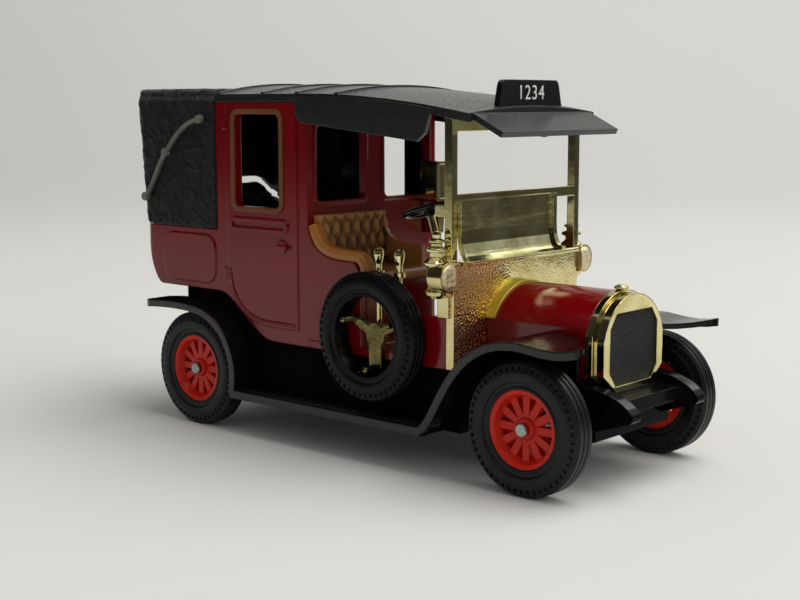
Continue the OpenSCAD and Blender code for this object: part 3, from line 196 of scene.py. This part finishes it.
# Kinds of material
# Painted shade: the inner faces of the cabin are coloured near black, for the shade under the roof and hood.
CABIN_PAINTED_SHADE = (0.004, 0.0035, 0.0035)
CABIN_FRONT = -8.35 * MM
CABIN_HALF_W = 13.7 * MM
TAIL_X = -31 * MM
FLANK_HALF_W = 16.5 * MM


def chassis_shade_gloss(tree, gloss):
    """Painted shade in the gloss: none on the tail's top and on the inner flanks, little on faces that look
    ahead.
    """
    forward, sideways, upward = facing(tree)
    x, y, _ = axes(tree)
    tail = times(tree, maths(tree, "LESS_THAN", x, TAIL_X), maths(tree, "GREATER_THAN", upward, 0.6))
    side_on = maths(tree, "GREATER_THAN", maths(tree, "ABSOLUTE", sideways), 0.8)
    flank = times(tree, side_on, within(tree, y, FLANK_HALF_W))
    shiny = maths(tree, "SUBTRACT", 1.0, maths(tree, "MAXIMUM", tail, flank))
    return times(tree, spread(tree, forward, gloss, 0.03, start=0.55, end=0.9), shiny)


def paint(name, dark, light, roughness, gloss=0.5, dust=0.0, cabin=False, shade_gloss=False):
    """Enamel with a slow colour drift and faint orange peel; dusty where asked, near black in the cabin as
    painted shade, and with painted shade in its gloss where asked.
    """
    material, tree, shader = new_material(name)
    colour = ramp(tree, noise_tex(tree, scale=140.0, detail=3.0), (0.3, dark), (0.7, light))
    # Painted shade: inside the cabin the enamel turns near black.
    if cabin:
        x, y, _ = axes(tree)
        cabin_shade_mask = times(tree, maths(tree, "LESS_THAN", x, CABIN_FRONT), within(tree, y, CABIN_HALF_W))
        colour = blend(tree, cabin_shade_mask, colour, CABIN_PAINTED_SHADE)
    if dust:
        colour = dusted(tree, colour, dust, scale=420.0, size=0.045, share=0.62)
    tree.links.new(colour, shader.inputs["Base Color"])
    uneven = spread(tree, noise_tex(tree, scale=900.0, detail=2.0), roughness * 0.75, roughness * 1.35)
    tree.links.new(uneven, shader.inputs["Roughness"])
    shader.inputs["Specular IOR Level"].default_value = gloss
    # Painted shade: the gloss is taken away on the chassis faces that lie in shade.
    if shade_gloss:
        tree.links.new(chassis_shade_gloss(tree, gloss), shader.inputs["Specular IOR Level"])
    peel = noise_tex(tree, scale=240.0, detail=1.0)
    bump(tree, shader, peel, strength=0.12, distance=0.06 * MM, before=soft_edge(tree, 0.35 * MM))
    return material


# Painted reflection: a copper tone for the maroon bonnet mirrored in the dash's near front faces.
BONNET_REFLECTION_TINT = (0.86, 0.54, 0.27)
BONNET_REFLECTION_FADE = 5 * MM


def gold(name, dark, light, roughness, hammer=0.0, cell=1500.0, near=None, streaks=0.0):
    """Mirror plating from olive to pale gold, hammered or streaked where asked.

    With near given, the hammering and a copper tone keep to front faces on the right of Y = near; the copper
    tone is a painted reflection of the maroon bonnet.
    """
    material, tree, shader = new_material(name)
    colour = ramp(tree, noise_tex(tree, scale=220.0, detail=4.0), (0.32, dark), (0.66, light))
    hammering = hammer
    if near is not None:
        reflecting = times(tree, spread(tree, axes(tree)[1], 1.0, 0.0, start=near, end=near + BONNET_REFLECTION_FADE),
                      spread(tree, facing(tree)[0], 0.0, 1.0, start=0.5, end=0.9))
        # Painted reflection of the bonnet on the near front faces.
        colour = blend(tree, reflecting, colour, BONNET_REFLECTION_TINT)
        hammering = times(tree, maths(tree, "MAXIMUM", reflecting, 0.03), hammer)
    tree.links.new(colour, shader.inputs["Base Color"])
    shader.inputs["Metallic"].default_value = 1.0
    uneven = spread(tree, noise_tex(tree, scale=700.0, detail=3.0), roughness * 0.6, roughness * 1.5)
    tree.links.new(uneven, shader.inputs["Roughness"])
    ripples = noise_tex(tree, scale=420.0, detail=2.0)
    last = bump(tree, shader, ripples, strength=0.18, distance=0.1 * MM, before=soft_edge(tree))
    if streaks:
        across = stretched(tree, (900.0, 60.0, 900.0))
        lines = noise_tex(tree, scale=1.0, detail=3.0, roughness=0.6, coords=across)
        last = bump(tree, shader, lines, strength=streaks, distance=0.16 * MM, before=last)
    if hammer:
        bump(tree, shader, voronoi_tex(tree, cell), strength=hammering, distance=0.2 * MM, before=last)
    return material


def plastic(name, dark, light, roughness, grain=0.0, gloss=0.5, dust=0.0, hollow_shade=None):
    """Moulded plastic with a slight colour drift and a fine grain; dusty where asked, and with painted shade
    in hollows where asked.
    """
    material, tree, shader = new_material(name)
    colour = ramp(tree, noise_tex(tree, scale=260.0, detail=4.0), (0.3, dark), (0.7, light))
    if dust:
        colour = dusted(tree, colour, dust, scale=460.0, size=0.05, share=0.6)
    if hollow_shade:
        # Painted shade: hollows, where pointiness is low, take the darker colour.
        raised = add(tree, "ShaderNodeNewGeometry").outputs["Pointiness"]
        colour = blend(tree, spread(tree, raised, 0.0, 1.0, start=0.44, end=0.53), hollow_shade, colour)
    tree.links.new(colour, shader.inputs["Base Color"])
    uneven = spread(tree, noise_tex(tree, scale=1200.0, detail=2.0), roughness * 0.8, roughness * 1.25)
    tree.links.new(uneven, shader.inputs["Roughness"])
    shader.inputs["Specular IOR Level"].default_value = gloss
    mould = noise_tex(tree, scale=1800.0, detail=3.0)
    bump(tree, shader, mould, strength=0.1 + grain, distance=0.04 * MM, before=soft_edge(tree))
    return material


# Painted highlight on the hood's faces that look up.
LEATHER_TOP_HIGHLIGHT = (0.06, 0.061, 0.058)


def leather(name, dark, light, roughness, depth, cell):
    """Leathercloth: worm-like wrinkles over slow creases, with painted highlights on the ridges and on faces
    that look up.
    """
    material, tree, shader = new_material(name)
    coords = object_coords(tree)
    worms = add(tree, "ShaderNodeTexNoise", Scale=cell, Detail=2.0, Roughness=0.5, Distortion=2.2)
    tree.links.new(coords, worms.inputs["Vector"])
    middle = maths(tree, "ABSOLUTE", maths(tree, "SUBTRACT", worms.outputs["Fac"], 0.5))
    ridges = spread(tree, middle, 1.0, 0.0, start=0.0, end=0.09)
    creases = noise_tex(tree, scale=cell * 0.3, detail=4.0, roughness=0.6, coords=coords)
    # Painted highlight: faces that look up turn paler, in patches set by the creases.
    top_highlight = times(tree, spread(tree, facing(tree, "Normal")[2], 0.0, 0.75, start=0.2, end=0.8),
                 spread(tree, creases, 0.4, 1.0, start=0.3, end=0.7))
    # The ridges take the lighter colour as a painted highlight.
    colour = blend(tree, top_highlight, ramp(tree, ridges, (0.5, dark), (0.95, light)), LEATHER_TOP_HIGHLIGHT)
    tree.links.new(colour, shader.inputs["Base Color"])
    tree.links.new(spread(tree, ridges, roughness * 1.15, roughness * 0.75), shader.inputs["Roughness"])
    shader.inputs["Specular IOR Level"].default_value = 0.3
    last = bump(tree, shader, creases, strength=depth * 0.6, distance=0.3 * MM, before=soft_edge(tree))
    bump(tree, shader, ridges, strength=depth, distance=0.16 * MM, before=last)
    return material


# Painted highlight on the pebbles of the roof top, and painted sheen on the visor's top.
PEBBLE_HIGHLIGHT = (0.12, 0.12, 0.117)
VISOR_SHEEN = (0.04, 0.04, 0.039)
VISOR_X = 23.2 * MM


def pebbled(name, dark, light, roughness, depth, cell):
    """Roof plastic: glossy pebbles on faces that look up, with painted highlights on them, but smooth and
    with a paler painted sheen on the sun visor.
    """
    material, tree, shader = new_material(name)
    up = spread(tree, facing(tree)[2], 0.0, 1.0, start=0.7, end=0.95)
    behind = maths(tree, "LESS_THAN", axes(tree)[0], VISOR_X)
    top = times(tree, up, behind)
    visor = times(tree, up, maths(tree, "SUBTRACT", 1.0, behind))
    speckle = noise_tex(tree, scale=cell, detail=2.0, roughness=0.6)
    pebble_glints = spread(tree, speckle, 0.0, 1.0, start=0.46, end=0.6)
    colour = ramp(tree, noise_tex(tree, scale=cell * 0.3, detail=3.0), (0.35, dark), (0.7, light))
    # Painted highlight on the pebbles of faces that look up, then painted sheen on the visor's top.
    colour = blend(tree, times(tree, pebble_glints, top), colour, PEBBLE_HIGHLIGHT)
    colour = blend(tree, visor, colour, VISOR_SHEEN)
    tree.links.new(colour, shader.inputs["Base Color"])
    tree.links.new(spread(tree, up, roughness, roughness * 0.85), shader.inputs["Roughness"])
    shader.inputs["Specular IOR Level"].default_value = 0.6
    ripples = noise_tex(tree, scale=700.0, detail=2.0)
    last = bump(tree, shader, ripples, strength=0.1, distance=0.05 * MM, before=soft_edge(tree))
    pebbles = voronoi_tex(tree, cell, "SMOOTH_F1")
    bump(tree, shader, pebbles, strength=spread(tree, top, 0.0, depth), distance=0.25 * MM, before=last)
    return material


# Materials: darker colour, lighter colour, roughness
MAROON = paint("maroon enamel", (0.15, 0.0007, 0.0024), (0.18, 0.0013, 0.0036), 0.13, cabin=True)
BLACK = paint("black enamel", (0.003, 0.003, 0.0034), (0.0056, 0.0056, 0.0062), 0.14, dust=0.5, shade_gloss=True)
TAN_LINE = paint("tan line", (0.13, 0.04, 0.013), (0.18, 0.058, 0.018), 0.35, gloss=0.3)
GOLD = gold("gold plating", (0.58, 0.49, 0.19), (0.84, 0.77, 0.42), 0.09)
# Its near front faces carry the copper tone, a painted reflection of the bonnet.
GOLD_HAMMERED = gold(
    "hammered gold plating", (0.62, 0.5, 0.2), (0.88, 0.8, 0.46), 0.1,
    hammer=0.9, cell=2800.0, near=-6.5 * MM)
GOLD_COWL = gold("cowl plating", (0.5, 0.46, 0.2), (0.84, 0.79, 0.46), 0.12, streaks=0.14)
# Painted shade: a darker copy of the gold plating for the spare bracket, which sits in shade.
GOLD_SHADED = gold("gold plating with painted shade", (0.12, 0.1, 0.035), (0.3, 0.26, 0.11), 0.22, hammer=0.3)
# Painted light: a lighter, yellower copy of the gold plating for the bonnet strap.
GOLD_STRAP_LIT = gold("strap plating with painted light", (0.86, 0.76, 0.08), (0.95, 0.88, 0.2), 0.42)
GOLD_LENS = gold("lens plating", (0.86, 0.7, 0.42), (0.95, 0.84, 0.58), 0.5, hammer=0.9, cell=1300.0)
STEEL = gold("steel", (0.3, 0.3, 0.28), (0.55, 0.55, 0.52), 0.35, hammer=0.4, cell=1600.0)
# The lighter colour is the painted highlight on the wrinkle ridges.
GRAIN = leather(
    "grained black leathercloth", (0.0012, 0.0014, 0.0018), (0.021, 0.0225, 0.025), 0.34,
    depth=0.6, cell=1700.0)
ROOF_GRAIN = pebbled(
    "pebbled roof plastic", (0.007, 0.0075, 0.008), (0.014, 0.015, 0.016), 0.3, depth=0.9, cell=2500.0)
SMOOTH_BLACK = plastic("smooth black plastic", (0.004, 0.004, 0.005), (0.008, 0.008, 0.009), 0.22)
# Painted shade: the rear seat is made near black, for the shade inside the cabin.
CABIN_SHADE_BLACK = plastic("black plastic for painted cabin shade", (0.003, 0.003, 0.0032), (0.006, 0.006, 0.0062), 0.6, gloss=0.15)
GRILLE = plastic("grille plastic", (0.011, 0.011, 0.0112), (0.02, 0.02, 0.0202), 0.4)
IRON = plastic("hood iron", (0.1, 0.095, 0.078), (0.19, 0.18, 0.15), 0.3)
# The third colour is painted shade in the hollows between the seat's tufts.
TAN = plastic("tan plastic", (0.33, 0.13, 0.028), (0.46, 0.2, 0.048), 0.3, hollow_shade=(0.05, 0.016, 0.004))
TAN_GLOSS = plastic("glossy tan plastic", (0.3, 0.105, 0.016), (0.38, 0.14, 0.024), 0.24)
RED = plastic("red plastic", (0.47, 0.011, 0.004), (0.57, 0.018, 0.006), 0.28, gloss=0.26)
TYRE = plastic(
    "tyre", (0.004, 0.0043, 0.005), (0.007, 0.0074, 0.0085), 0.36, grain=0.1, gloss=0.27, dust=0.8)
# Painted shade: a darker, less glossy copy of the tyre rubber for the spare.
SPARE_SHADED = plastic(
    "spare tyre", (0.0022, 0.0024, 0.0031), (0.004, 0.0043, 0.0052), 0.26, grain=0.1, gloss=0.16, dust=0.7)
WHITE_PRINT = plastic("white print", (0.62, 0.62, 0.6), (0.72, 0.72, 0.7), 0.5)

LOOKS = {
    "chassis": BLACK, "base_plate": BLACK, "rivets": STEEL, "front_axle": STEEL, "rear_axle": STEEL,
    "body_shell": MAROON, "cab_floor": MAROON, "bonnet": MAROON,
    "window_trim_right": TAN_LINE, "window_trim_left": TAN_LINE,
    "radiator_shell": GOLD, "radiator_grille": GRILLE, "filler_cap": GOLD, "bonnet_strap": GOLD_STRAP_LIT,
    "dash_panel": GOLD_HAMMERED, "windscreen_frame": GOLD, "scuttle_cowl": GOLD_COWL,
    "lamp_right": GOLD, "lamp_left": GOLD, "lamp_lens_right": GOLD_LENS, "lamp_lens_left": GOLD_LENS,
    "steering_column": GOLD, "steering_wheel": SMOOTH_BLACK, "brake_lever": GOLD, "gear_lever": GOLD,
    "taximeter": GOLD, "spare_tyre": SPARE_SHADED, "spare_bracket": GOLD_SHADED,
    "roof": ROOF_GRAIN, "roof_plate": SMOOTH_BLACK, "landau_hood": GRAIN,
    "hood_iron_right": IRON, "hood_iron_left": IRON, "driver_seat": TAN, "rear_seat": CABIN_SHADE_BLACK,
}
for wheel in WHEELS:
    LOOKS[f"wheel_{wheel}"] = RED
    LOOKS[f"tyre_{wheel}"] = TYRE


def dress(obj, material):
    obj.data.materials.clear()
    obj.data.materials.append(material)


for node_name, look in LOOKS.items():
    dress(nodes[node_name], look)


# Finer pieces
def new_object(name, points, faces, material):
    """A smooth-shaded mesh object."""
    mesh = bpy.data.meshes.new(name)
    mesh.from_pydata([tuple(p) for p in points], [], faces)
    mesh.update()
    mesh.polygons.foreach_set("use_smooth", [True] * len(mesh.polygons))
    obj = bpy.data.objects.new(name, mesh)
    bpy.context.scene.collection.objects.link(obj)
    dress(obj, material)
    return obj


def mesh_piece(name, points, faces, material, sharp_from):
    """A piece with sharp edges where its faces meet at sharp_from degrees or more."""
    obj = new_object(name, points, faces, material)
    obj.data.set_sharp_from_angle(angle=math.radians(sharp_from))
    return obj


def ring_faces(ring_size, rings, spans):
    """Quads between rings of points; as many spans as rings joins the last ring to the first."""
    m, n = ring_size, rings
    return [
        (i * m + j, i * m + (j + 1) % m, (i + 1) % n * m + (j + 1) % m, (i + 1) % n * m + j)
        for i in range(spans) for j in range(m)
    ]


def corners(node):
    low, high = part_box(node)
    return Vector(low), Vector(high)


def evaluated(obj):
    return bpy.data.meshes.new_from_object(obj.evaluated_get(bpy.context.evaluated_depsgraph_get()))


# Tyres
BEAD_R = 5.4 * MM
SPARE_BEAD_R = 5.9 * MM
# Section, as shares of the way from bead to tread and of half the width
SECTION = [
    (0, 0.8), (0.03, 0.86), (0.09, 0.86), (0.12, 0.8), (0.25, 0.82), (0.28, 0.95), (0.34, 0.985),
    (0.48, 1), (0.6, 0.99), (0.64, 0.98), (0.655, 0.92), (0.69, 0.92), (0.705, 0.915), (0.715, 0.91),
    (0.835, 0.864), (0.845, 0.86), (0.9, 0.84), (0.955, 0.76), (0.955, 0.7), (1, 0.66), (1, 0.32),
    (0.955, 0.28), (0.955, 0.18), (1, 0.14),
]
# Shoulder slots: where they start and end on the section, and each one's edges as shares of pitch and depth
NOTCHES = 50
NOTCH_DEPTH = 0.24 * MM
NOTCH_START, NOTCH_END = 0.71, 0.84
NOTCH_EDGES = ((0.0, 0.0), (0.5, 0.0), (0.56, 1.0), (0.94, 1.0))
TYRE_SHARP_FROM = 28


def notched_tyre(name, node, body, bead_r, material):
    """A tyre with a row of slots round each shoulder, in the place of its plain solid."""
    low, high = corners(node)
    centre = (low + high) / 2
    outer = (high.z - low.z) / 2
    half_w = (high.y - low.y) / 2
    ring = [(bead_r + s * (outer - bead_r), w * half_w, NOTCH_START < s < NOTCH_END) for s, w in SECTION]
    ring += [(r, -w, cut) for r, w, cut in reversed(ring)]
    turns = [(notch + share, depth) for notch in range(NOTCHES) for share, depth in NOTCH_EDGES]
    points = []
    for turn, depth in turns:
        angle = 2 * math.pi * turn / NOTCHES
        for r, y, cut in ring:
            sunk = y - math.copysign(NOTCH_DEPTH * depth, y) if cut else y
            points.append((centre.x + r * math.cos(angle), centre.y + sunk, centre.z + r * math.sin(angle)))
    faces = ring_faces(len(ring), len(turns), len(turns))
    obj = mesh_piece(name, points, faces, material, TYRE_SHARP_FROM)
    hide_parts(node)
    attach(obj, body)


for wheel in WHEELS:
    notched_tyre(f"treaded_tyre_{wheel}", f"tyre_{wheel}", f"wheel_{wheel}", BEAD_R, TYRE)
notched_tyre("treaded_spare_tyre", "spare_tyre", "car", SPARE_BEAD_R, SPARE_SHADED)

# Hood: the hem is a bar inside the back edge, and the back leans out from its foot to its top
HOOD_VOXEL = 0.24 * MM
HEM_SIZE = (1.3 * MM, 27.2 * MM, 1.2 * MM)
HEM_IN = 0.9 * MM
BACK_CORNER_R = 2.6 * MM
EAVES_R = 1.3 * MM
SIDE_BAND = 0.2 * MM
LEAN = 1.5 * MM
LEAN_FOOT = 2.1 * MM
LEAN_TALL = 18 * MM
LEAN_REACH = 17.4 * MM
LEAN_LONG = 16 * MM
# Wrinkles and creases: noise cells per metre, the warp and width in shares of a cell, and heights
WRINKLE_SEED = 7
WRINKLE_RATE = 640.0
WRINKLE_WARP_RATE = 0.7
WRINKLE_WARP = 0.9
WRINKLE_WIDTH = 0.24
WRINKLE_H = 0.13 * MM
CREASE_RATE = 260.0
CREASE_H = 0.05 * MM
CLOTH_SUNK = 0.06 * MM


def wrinkle(place):
    """1 along the middle of worm-like lines, 0 between them."""
    spot = place * WRINKLE_RATE
    warped = spot + noise.noise_vector(spot * WRINKLE_WARP_RATE) * WRINKLE_WARP
    return max(0.0, 1.0 - abs(noise.noise(warped)) / WRINKLE_WIDTH)


def crease(place):
    """Slow waves of the cloth, by noise in three octaves."""
    return noise.fractal(place * CREASE_RATE, 1.0, 2.0, 3)


def into_corner(place, edge, radius):
    """Share of the way from where a rounding starts to the edge."""
    return np.clip((place - edge + radius) / radius, 0.0, 1.0)


def pulled_in(radius, along, across):
    """How far a point moves in along one axis to round a corner, from its shares of the way into it."""
    return radius * along * (1 - np.sqrt(1 - across**2 / 2))


def stretch_over_frame(places):
    """Round the hood's upright back corners and its eaves, and lean its back out towards the top."""
    low, high = corners("landau_hood")
    x, y, z = places.T
    out = np.abs(y)
    back_x, back_y = into_corner(-x, -low.x, BACK_CORNER_R), into_corner(out, high.y, BACK_CORNER_R)
    eaves = z[out > high.y - SIDE_BAND].max()
    eaves_y, eaves_z = into_corner(out, high.y, EAVES_R), into_corner(z, eaves, EAVES_R)
    rise = np.clip((z - low.z - LEAN_FOOT) / LEAN_TALL, 0.0, 1.0)
    astern = np.clip((low.x + LEAN_REACH - x) / LEAN_LONG, 0.0, 1.0)
    inward = pulled_in(BACK_CORNER_R, back_y, back_x) + pulled_in(EAVES_R, eaves_y, eaves_z)
    return np.stack([
        x + pulled_in(BACK_CORNER_R, back_x, back_y) - LEAN * rise * astern,
        y - np.sign(y) * inward,
        z - pulled_in(EAVES_R, eaves_z, eaves_y),
    ], axis=1)


def set_places(mesh, places):
    mesh.vertices.foreach_set("co", places.ravel())
    mesh.update()


def hood_with_hem():
    """A fine even mesh of the hood's solid joined with its hem."""
    low, _ = corners("landau_hood")
    hem_centre = (low.x + HEM_IN + HEM_SIZE[0] / 2, 0.0, low.z + HEM_SIZE[2] / 2)
    build = bmesh.new()
    build.from_mesh(nodes["landau_hood"].data)
    bmesh.ops.create_cube(
        build, size=1.0, matrix=Matrix.Translation(hem_centre) @ Matrix.Diagonal((*HEM_SIZE, 1.0)))
    mesh = bpy.data.meshes.new("leather_hood")
    build.to_mesh(mesh)
    build.free()
    hood = bpy.data.objects.new("leather_hood", mesh)
    bpy.context.scene.collection.objects.link(hood)
    remesh = hood.modifiers.new("remesh", "REMESH")
    remesh.mode = "VOXEL"
    remesh.voxel_size = HOOD_VOXEL
    bpy.context.view_layer.update()
    mesh = evaluated(hood)
    hood.modifiers.clear()
    hood.data = mesh
    return hood


def leather_hood():
    """The hood with soft edges, its back hem on the tub and the wrinkles of stretched leathercloth."""
    hood = hood_with_hem()
    mesh = hood.data
    places = np.empty(len(mesh.vertices) * 3)
    mesh.vertices.foreach_get("co", places)
    places = stretch_over_frame(places.reshape(-1, 3))
    set_places(mesh, places)
    normals = np.array([v.normal for v in mesh.vertices])
    noise.seed_set(WRINKLE_SEED)
    spots = [Vector(p) for p in places]
    lift = np.array([CREASE_H * crease(spot) + WRINKLE_H * wrinkle(spot) - CLOTH_SUNK for spot in spots])
    set_places(mesh, places + normals * lift[:, None])
    mesh.polygons.foreach_set("use_smooth", [True] * len(mesh.polygons))
    dress(hood, GRAIN)
    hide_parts("landau_hood")
    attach(hood, "car")


leather_hood()

# Seat roll, in millimetres: the arm's top line in X and Z, from the seat's back to its nose, and a section
ARM_FALL = ((-7.0, 33.6), (-5.9, 28.8), (-2.05, 28.8), (2.5, 28.8))
ARM_NOSE = ((2.5, 28.8), (3.3, 28.8), (3.8, 28.0), (3.95, 26.4))
FALL_STEPS, NOSE_STEPS = 26, 12
ROLL_Y = -13.9
ROLL_HALF_W = 1.04
ROLL_HALF_H = 0.84
ROLL_RISE = 0.78
ROLL_SIDES = 28
ROLL_SQUARENESS = 0.55
ROLL_END_SHARES = (0.8, 0.94)
ROLL_SHARP_FROM = 50


def bezier(a, b, c, d, steps):
    t = np.linspace(0.0, 1.0, steps + 1)[:, None]
    a, b, c, d = (np.array(v, float) for v in (a, b, c, d))
    return (1 - t) ** 3 * a + 3 * (1 - t) ** 2 * t * b + 3 * (1 - t) * t ** 2 * c + t ** 3 * d


def squared(wave):
    """A sine or cosine flattened towards a square wave."""
    return np.sign(wave) * np.abs(wave) ** ROLL_SQUARENESS


def seat_roll():
    """The stuffed roll along the top and down the nose of the driver's seat arm."""
    path = np.vstack((bezier(*ARM_FALL, FALL_STEPS), bezier(*ARM_NOSE, NOSE_STEPS)[1:]))
    along = np.gradient(path, axis=0)
    along /= np.linalg.norm(along, axis=1)[:, None]
    up = np.column_stack((-along[:, 1], along[:, 0]))
    centre = path + up * ROLL_RISE
    turn = np.linspace(0.0, 2 * math.pi, ROLL_SIDES, endpoint=False)
    wide = squared(np.cos(turn)) * ROLL_HALF_W
    tall = squared(np.sin(turn)) * ROLL_HALF_H
    rings = len(centre)
    points = []
    for step, (c, u) in enumerate(zip(centre, up)):
        from_end = min(step, rings - 1 - step)
        swell = ROLL_END_SHARES[from_end] if from_end < len(ROLL_END_SHARES) else 1.0
        for w, t in zip(wide * swell, tall * swell):
            points.append(Vector((c[0] + u[0] * t, ROLL_Y + w, c[1] + u[1] * t)) * MM)
    faces = ring_faces(ROLL_SIDES, rings, rings - 1)
    first_end = tuple(range(ROLL_SIDES))
    last_end = tuple(reversed(range((rings - 1) * ROLL_SIDES, rings * ROLL_SIDES)))
    faces += [first_end, last_end]
    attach(mesh_piece("seat_roll", points, faces, TAN_GLOSS, ROLL_SHARP_FROM), "car")


seat_roll()

# Plate digits
DIGIT_SIZE = 2.9 * MM
DIGIT_SPACING = 1.12
DIGIT_EXTRUDE = 0.04 * MM
DIGIT_PROUD = 0.02 * MM


def plate_digits():
    """Plain sample digits on the roof plate's front."""
    low, high = corners("roof_plate")
    data = bpy.data.curves.new("plate_digits", "FONT")
    data.body = "1234"
    data.align_x = "CENTER"
    data.align_y = "CENTER"
    data.size = DIGIT_SIZE
    data.space_character = DIGIT_SPACING
    data.extrude = DIGIT_EXTRUDE
    obj = bpy.data.objects.new("plate_digits", data)
    bpy.context.scene.collection.objects.link(obj)
    to_front = Matrix(((0, 0, 1), (1, 0, 0), (0, 1, 0))).to_4x4()
    obj.matrix_world = Matrix.Translation((high.x + DIGIT_PROUD, 0.0, (low.z + high.z) / 2)) @ to_front
    bpy.context.view_layer.update()
    mesh = evaluated(obj)
    flat = bpy.data.objects.new("sample_digits", mesh)
    flat.matrix_world = obj.matrix_world
    bpy.data.objects.remove(obj)
    bpy.context.scene.collection.objects.link(flat)
    dress(flat, WHITE_PRINT)
    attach(flat, "car")


plate_digits()

# Camera and the directions of its picture
CAMERA_PLACE = Vector((143.17, -161.95, 52.01)) * MM
CAMERA_YAW, CAMERA_PITCH, CAMERA_ROLL = math.radians(41.805), math.radians(8.066), math.radians(-0.118)
CAMERA_LENS = 62.63
CAMERA_SENSOR = 36.0
CAMERA_CLIP = 0.005
AWAY = Vector((-math.sin(CAMERA_YAW), math.cos(CAMERA_YAW), 0.0))
RIGHT = Vector((math.cos(CAMERA_YAW), math.sin(CAMERA_YAW), 0.0))
UP = Vector((0.0, 0.0, 1.0))


def camera():
    data = bpy.data.cameras.new("camera")
    data.sensor_width = CAMERA_SENSOR
    data.lens = CAMERA_LENS
    data.clip_start = CAMERA_CLIP
    obj = bpy.data.objects.new("camera", data)
    bpy.context.scene.collection.objects.link(obj)
    ahead = (AWAY * math.cos(CAMERA_PITCH) - UP * math.sin(CAMERA_PITCH)).normalized()
    turn = Matrix((RIGHT, RIGHT.cross(ahead), -ahead)).transposed().to_4x4()
    obj.matrix_world = Matrix.Translation(CAMERA_PLACE) @ turn @ Matrix.Rotation(CAMERA_ROLL, 4, "Z")
    bpy.context.scene.camera = obj


# Stage
PAPER_DARK = (0.635, 0.632, 0.602)
PAPER_LIGHT = (0.66, 0.656, 0.626)
BACKDROP = (0.77, 0.766, 0.728)
BACKDROP_Z = 0.15
FLOOR_FRONT, FLOOR_BACK = -1.4, 0.5
SWEEP_R = 0.7
SWEEP_TOP = 2.4
SWEEP_HALF_W = 2.4
WALL_STEPS = 40


def stage_mesh(name, points, faces, material):
    obj = new_object(name, points, faces, material)
    return obj


def paper():
    material, tree, shader = new_material("paper sweep")
    floor = ramp(tree, noise_tex(tree, scale=3.0, detail=2.0), (0.3, PAPER_DARK), (0.7, PAPER_LIGHT))
    height = spread(tree, axes(tree)[2], 0.0, 1.0, start=0.0, end=BACKDROP_Z)
    tree.links.new(blend(tree, height, floor, BACKDROP), shader.inputs["Base Color"])
    shader.inputs["Roughness"].default_value = 0.85
    shader.inputs["Specular IOR Level"].default_value = 0.2
    bump(tree, shader, noise_tex(tree, scale=900.0, detail=3.0), strength=0.08, distance=0.05 * MM)
    return material


def sweep_sheet():
    """A paper floor that curves up behind into a backdrop."""
    line = [(FLOOR_FRONT, 0.0), (FLOOR_BACK, 0.0)]
    line += [
        (FLOOR_BACK + SWEEP_R * math.sin(a), SWEEP_R * (1 - math.cos(a)))
        for a in np.radians(np.linspace(2, 90, 45))
    ]
    line.append((FLOOR_BACK + SWEEP_R, SWEEP_TOP))
    points = [AWAY * d + UP * z + RIGHT * s for d, z in line for s in (-SWEEP_HALF_W, SWEEP_HALF_W)]
    faces = [(2 * i, 2 * i + 1, 2 * i + 3, 2 * i + 2) for i in range(len(line) - 1)]
    stage_mesh("sweep", points, faces, paper())


def dim_wall(name, first, last, radius, tall, foot, fade, top):
    """What gloss sees past the paper: part of a dark round wall, seen only in reflections.

    It runs from the angle first to last, and its colour goes from foot to top over the height fade.
    """
    material, tree, shader = new_material(name)
    tree.links.new(ramp(tree, axes(tree)[2], (0.0, foot), (fade, top)), shader.inputs["Base Color"])
    shader.inputs["Roughness"].default_value = 0.9
    shader.inputs["Specular IOR Level"].default_value = 0.0
    points = []
    for step in range(WALL_STEPS + 1):
        turn = math.radians(first + (last - first) * step / WALL_STEPS)
        out = RIGHT * math.cos(turn) + AWAY * math.sin(turn)
        points += [out * radius, out * radius + UP * tall]
    faces = [(2 * i, 2 * i + 2, 2 * i + 3, 2 * i + 1) for i in range(WALL_STEPS)]
    wall = stage_mesh(name, points, faces, material)
    wall.visible_camera = False
    wall.visible_diffuse = False
    wall.visible_shadow = False
    wall.visible_transmission = False
    wall.visible_volume_scatter = False


# Light
SKY = (0.97, 0.98, 1.0, 1.0)
SKY_STRENGTH = 0.4
WHITE = (1.0, 1.0, 1.0)
WARM = (1.0, 0.988, 0.962)


def area_light(name, place, target, size, power, colour=WHITE):
    data = bpy.data.lights.new(name, "AREA")
    data.shape = "DISK"
    data.size = size
    data.energy = power
    data.color = colour
    obj = bpy.data.objects.new(name, data)
    obj.location = place
    obj.rotation_mode = "QUATERNION"
    obj.rotation_quaternion = (target - place).to_track_quat("-Z", "Y")
    bpy.context.scene.collection.objects.link(obj)


def sky():
    scene = bpy.context.scene
    scene.view_settings.view_transform = "Standard"
    world = bpy.data.worlds.new("studio")
    scene.world = world
    world.use_nodes = True
    background = world.node_tree.nodes["Background"]
    background.inputs["Color"].default_value = SKY
    background.inputs["Strength"].default_value = SKY_STRENGTH


sweep_sheet()
dim_wall("dim_wall_near", first=150, last=345, radius=0.3, tall=0.42,
         foot=(0.6, 0.6, 0.57), fade=0.03, top=(0.025, 0.025, 0.024))
dim_wall("dim_wall_ahead", first=345, last=400, radius=0.27, tall=0.07,
         foot=(0.3, 0.3, 0.28), fade=0.01, top=(0.1, 0.1, 0.095))
sky()
area_light("top softbox", place=AWAY * 0.02 + RIGHT * 0.38 + UP * 0.92, target=AWAY * 0.06,
           size=0.95, power=8.2, colour=WARM)
area_light("front fill", place=RIGHT * 0.6 - AWAY * 0.5 + UP * 0.5, target=UP * 0.02, size=0.6, power=1.6)
area_light("back softbox", place=AWAY * 0.5 + RIGHT * 0.62 + UP * 0.7, target=UP * 0.03, size=0.5, power=0.8)
camera()
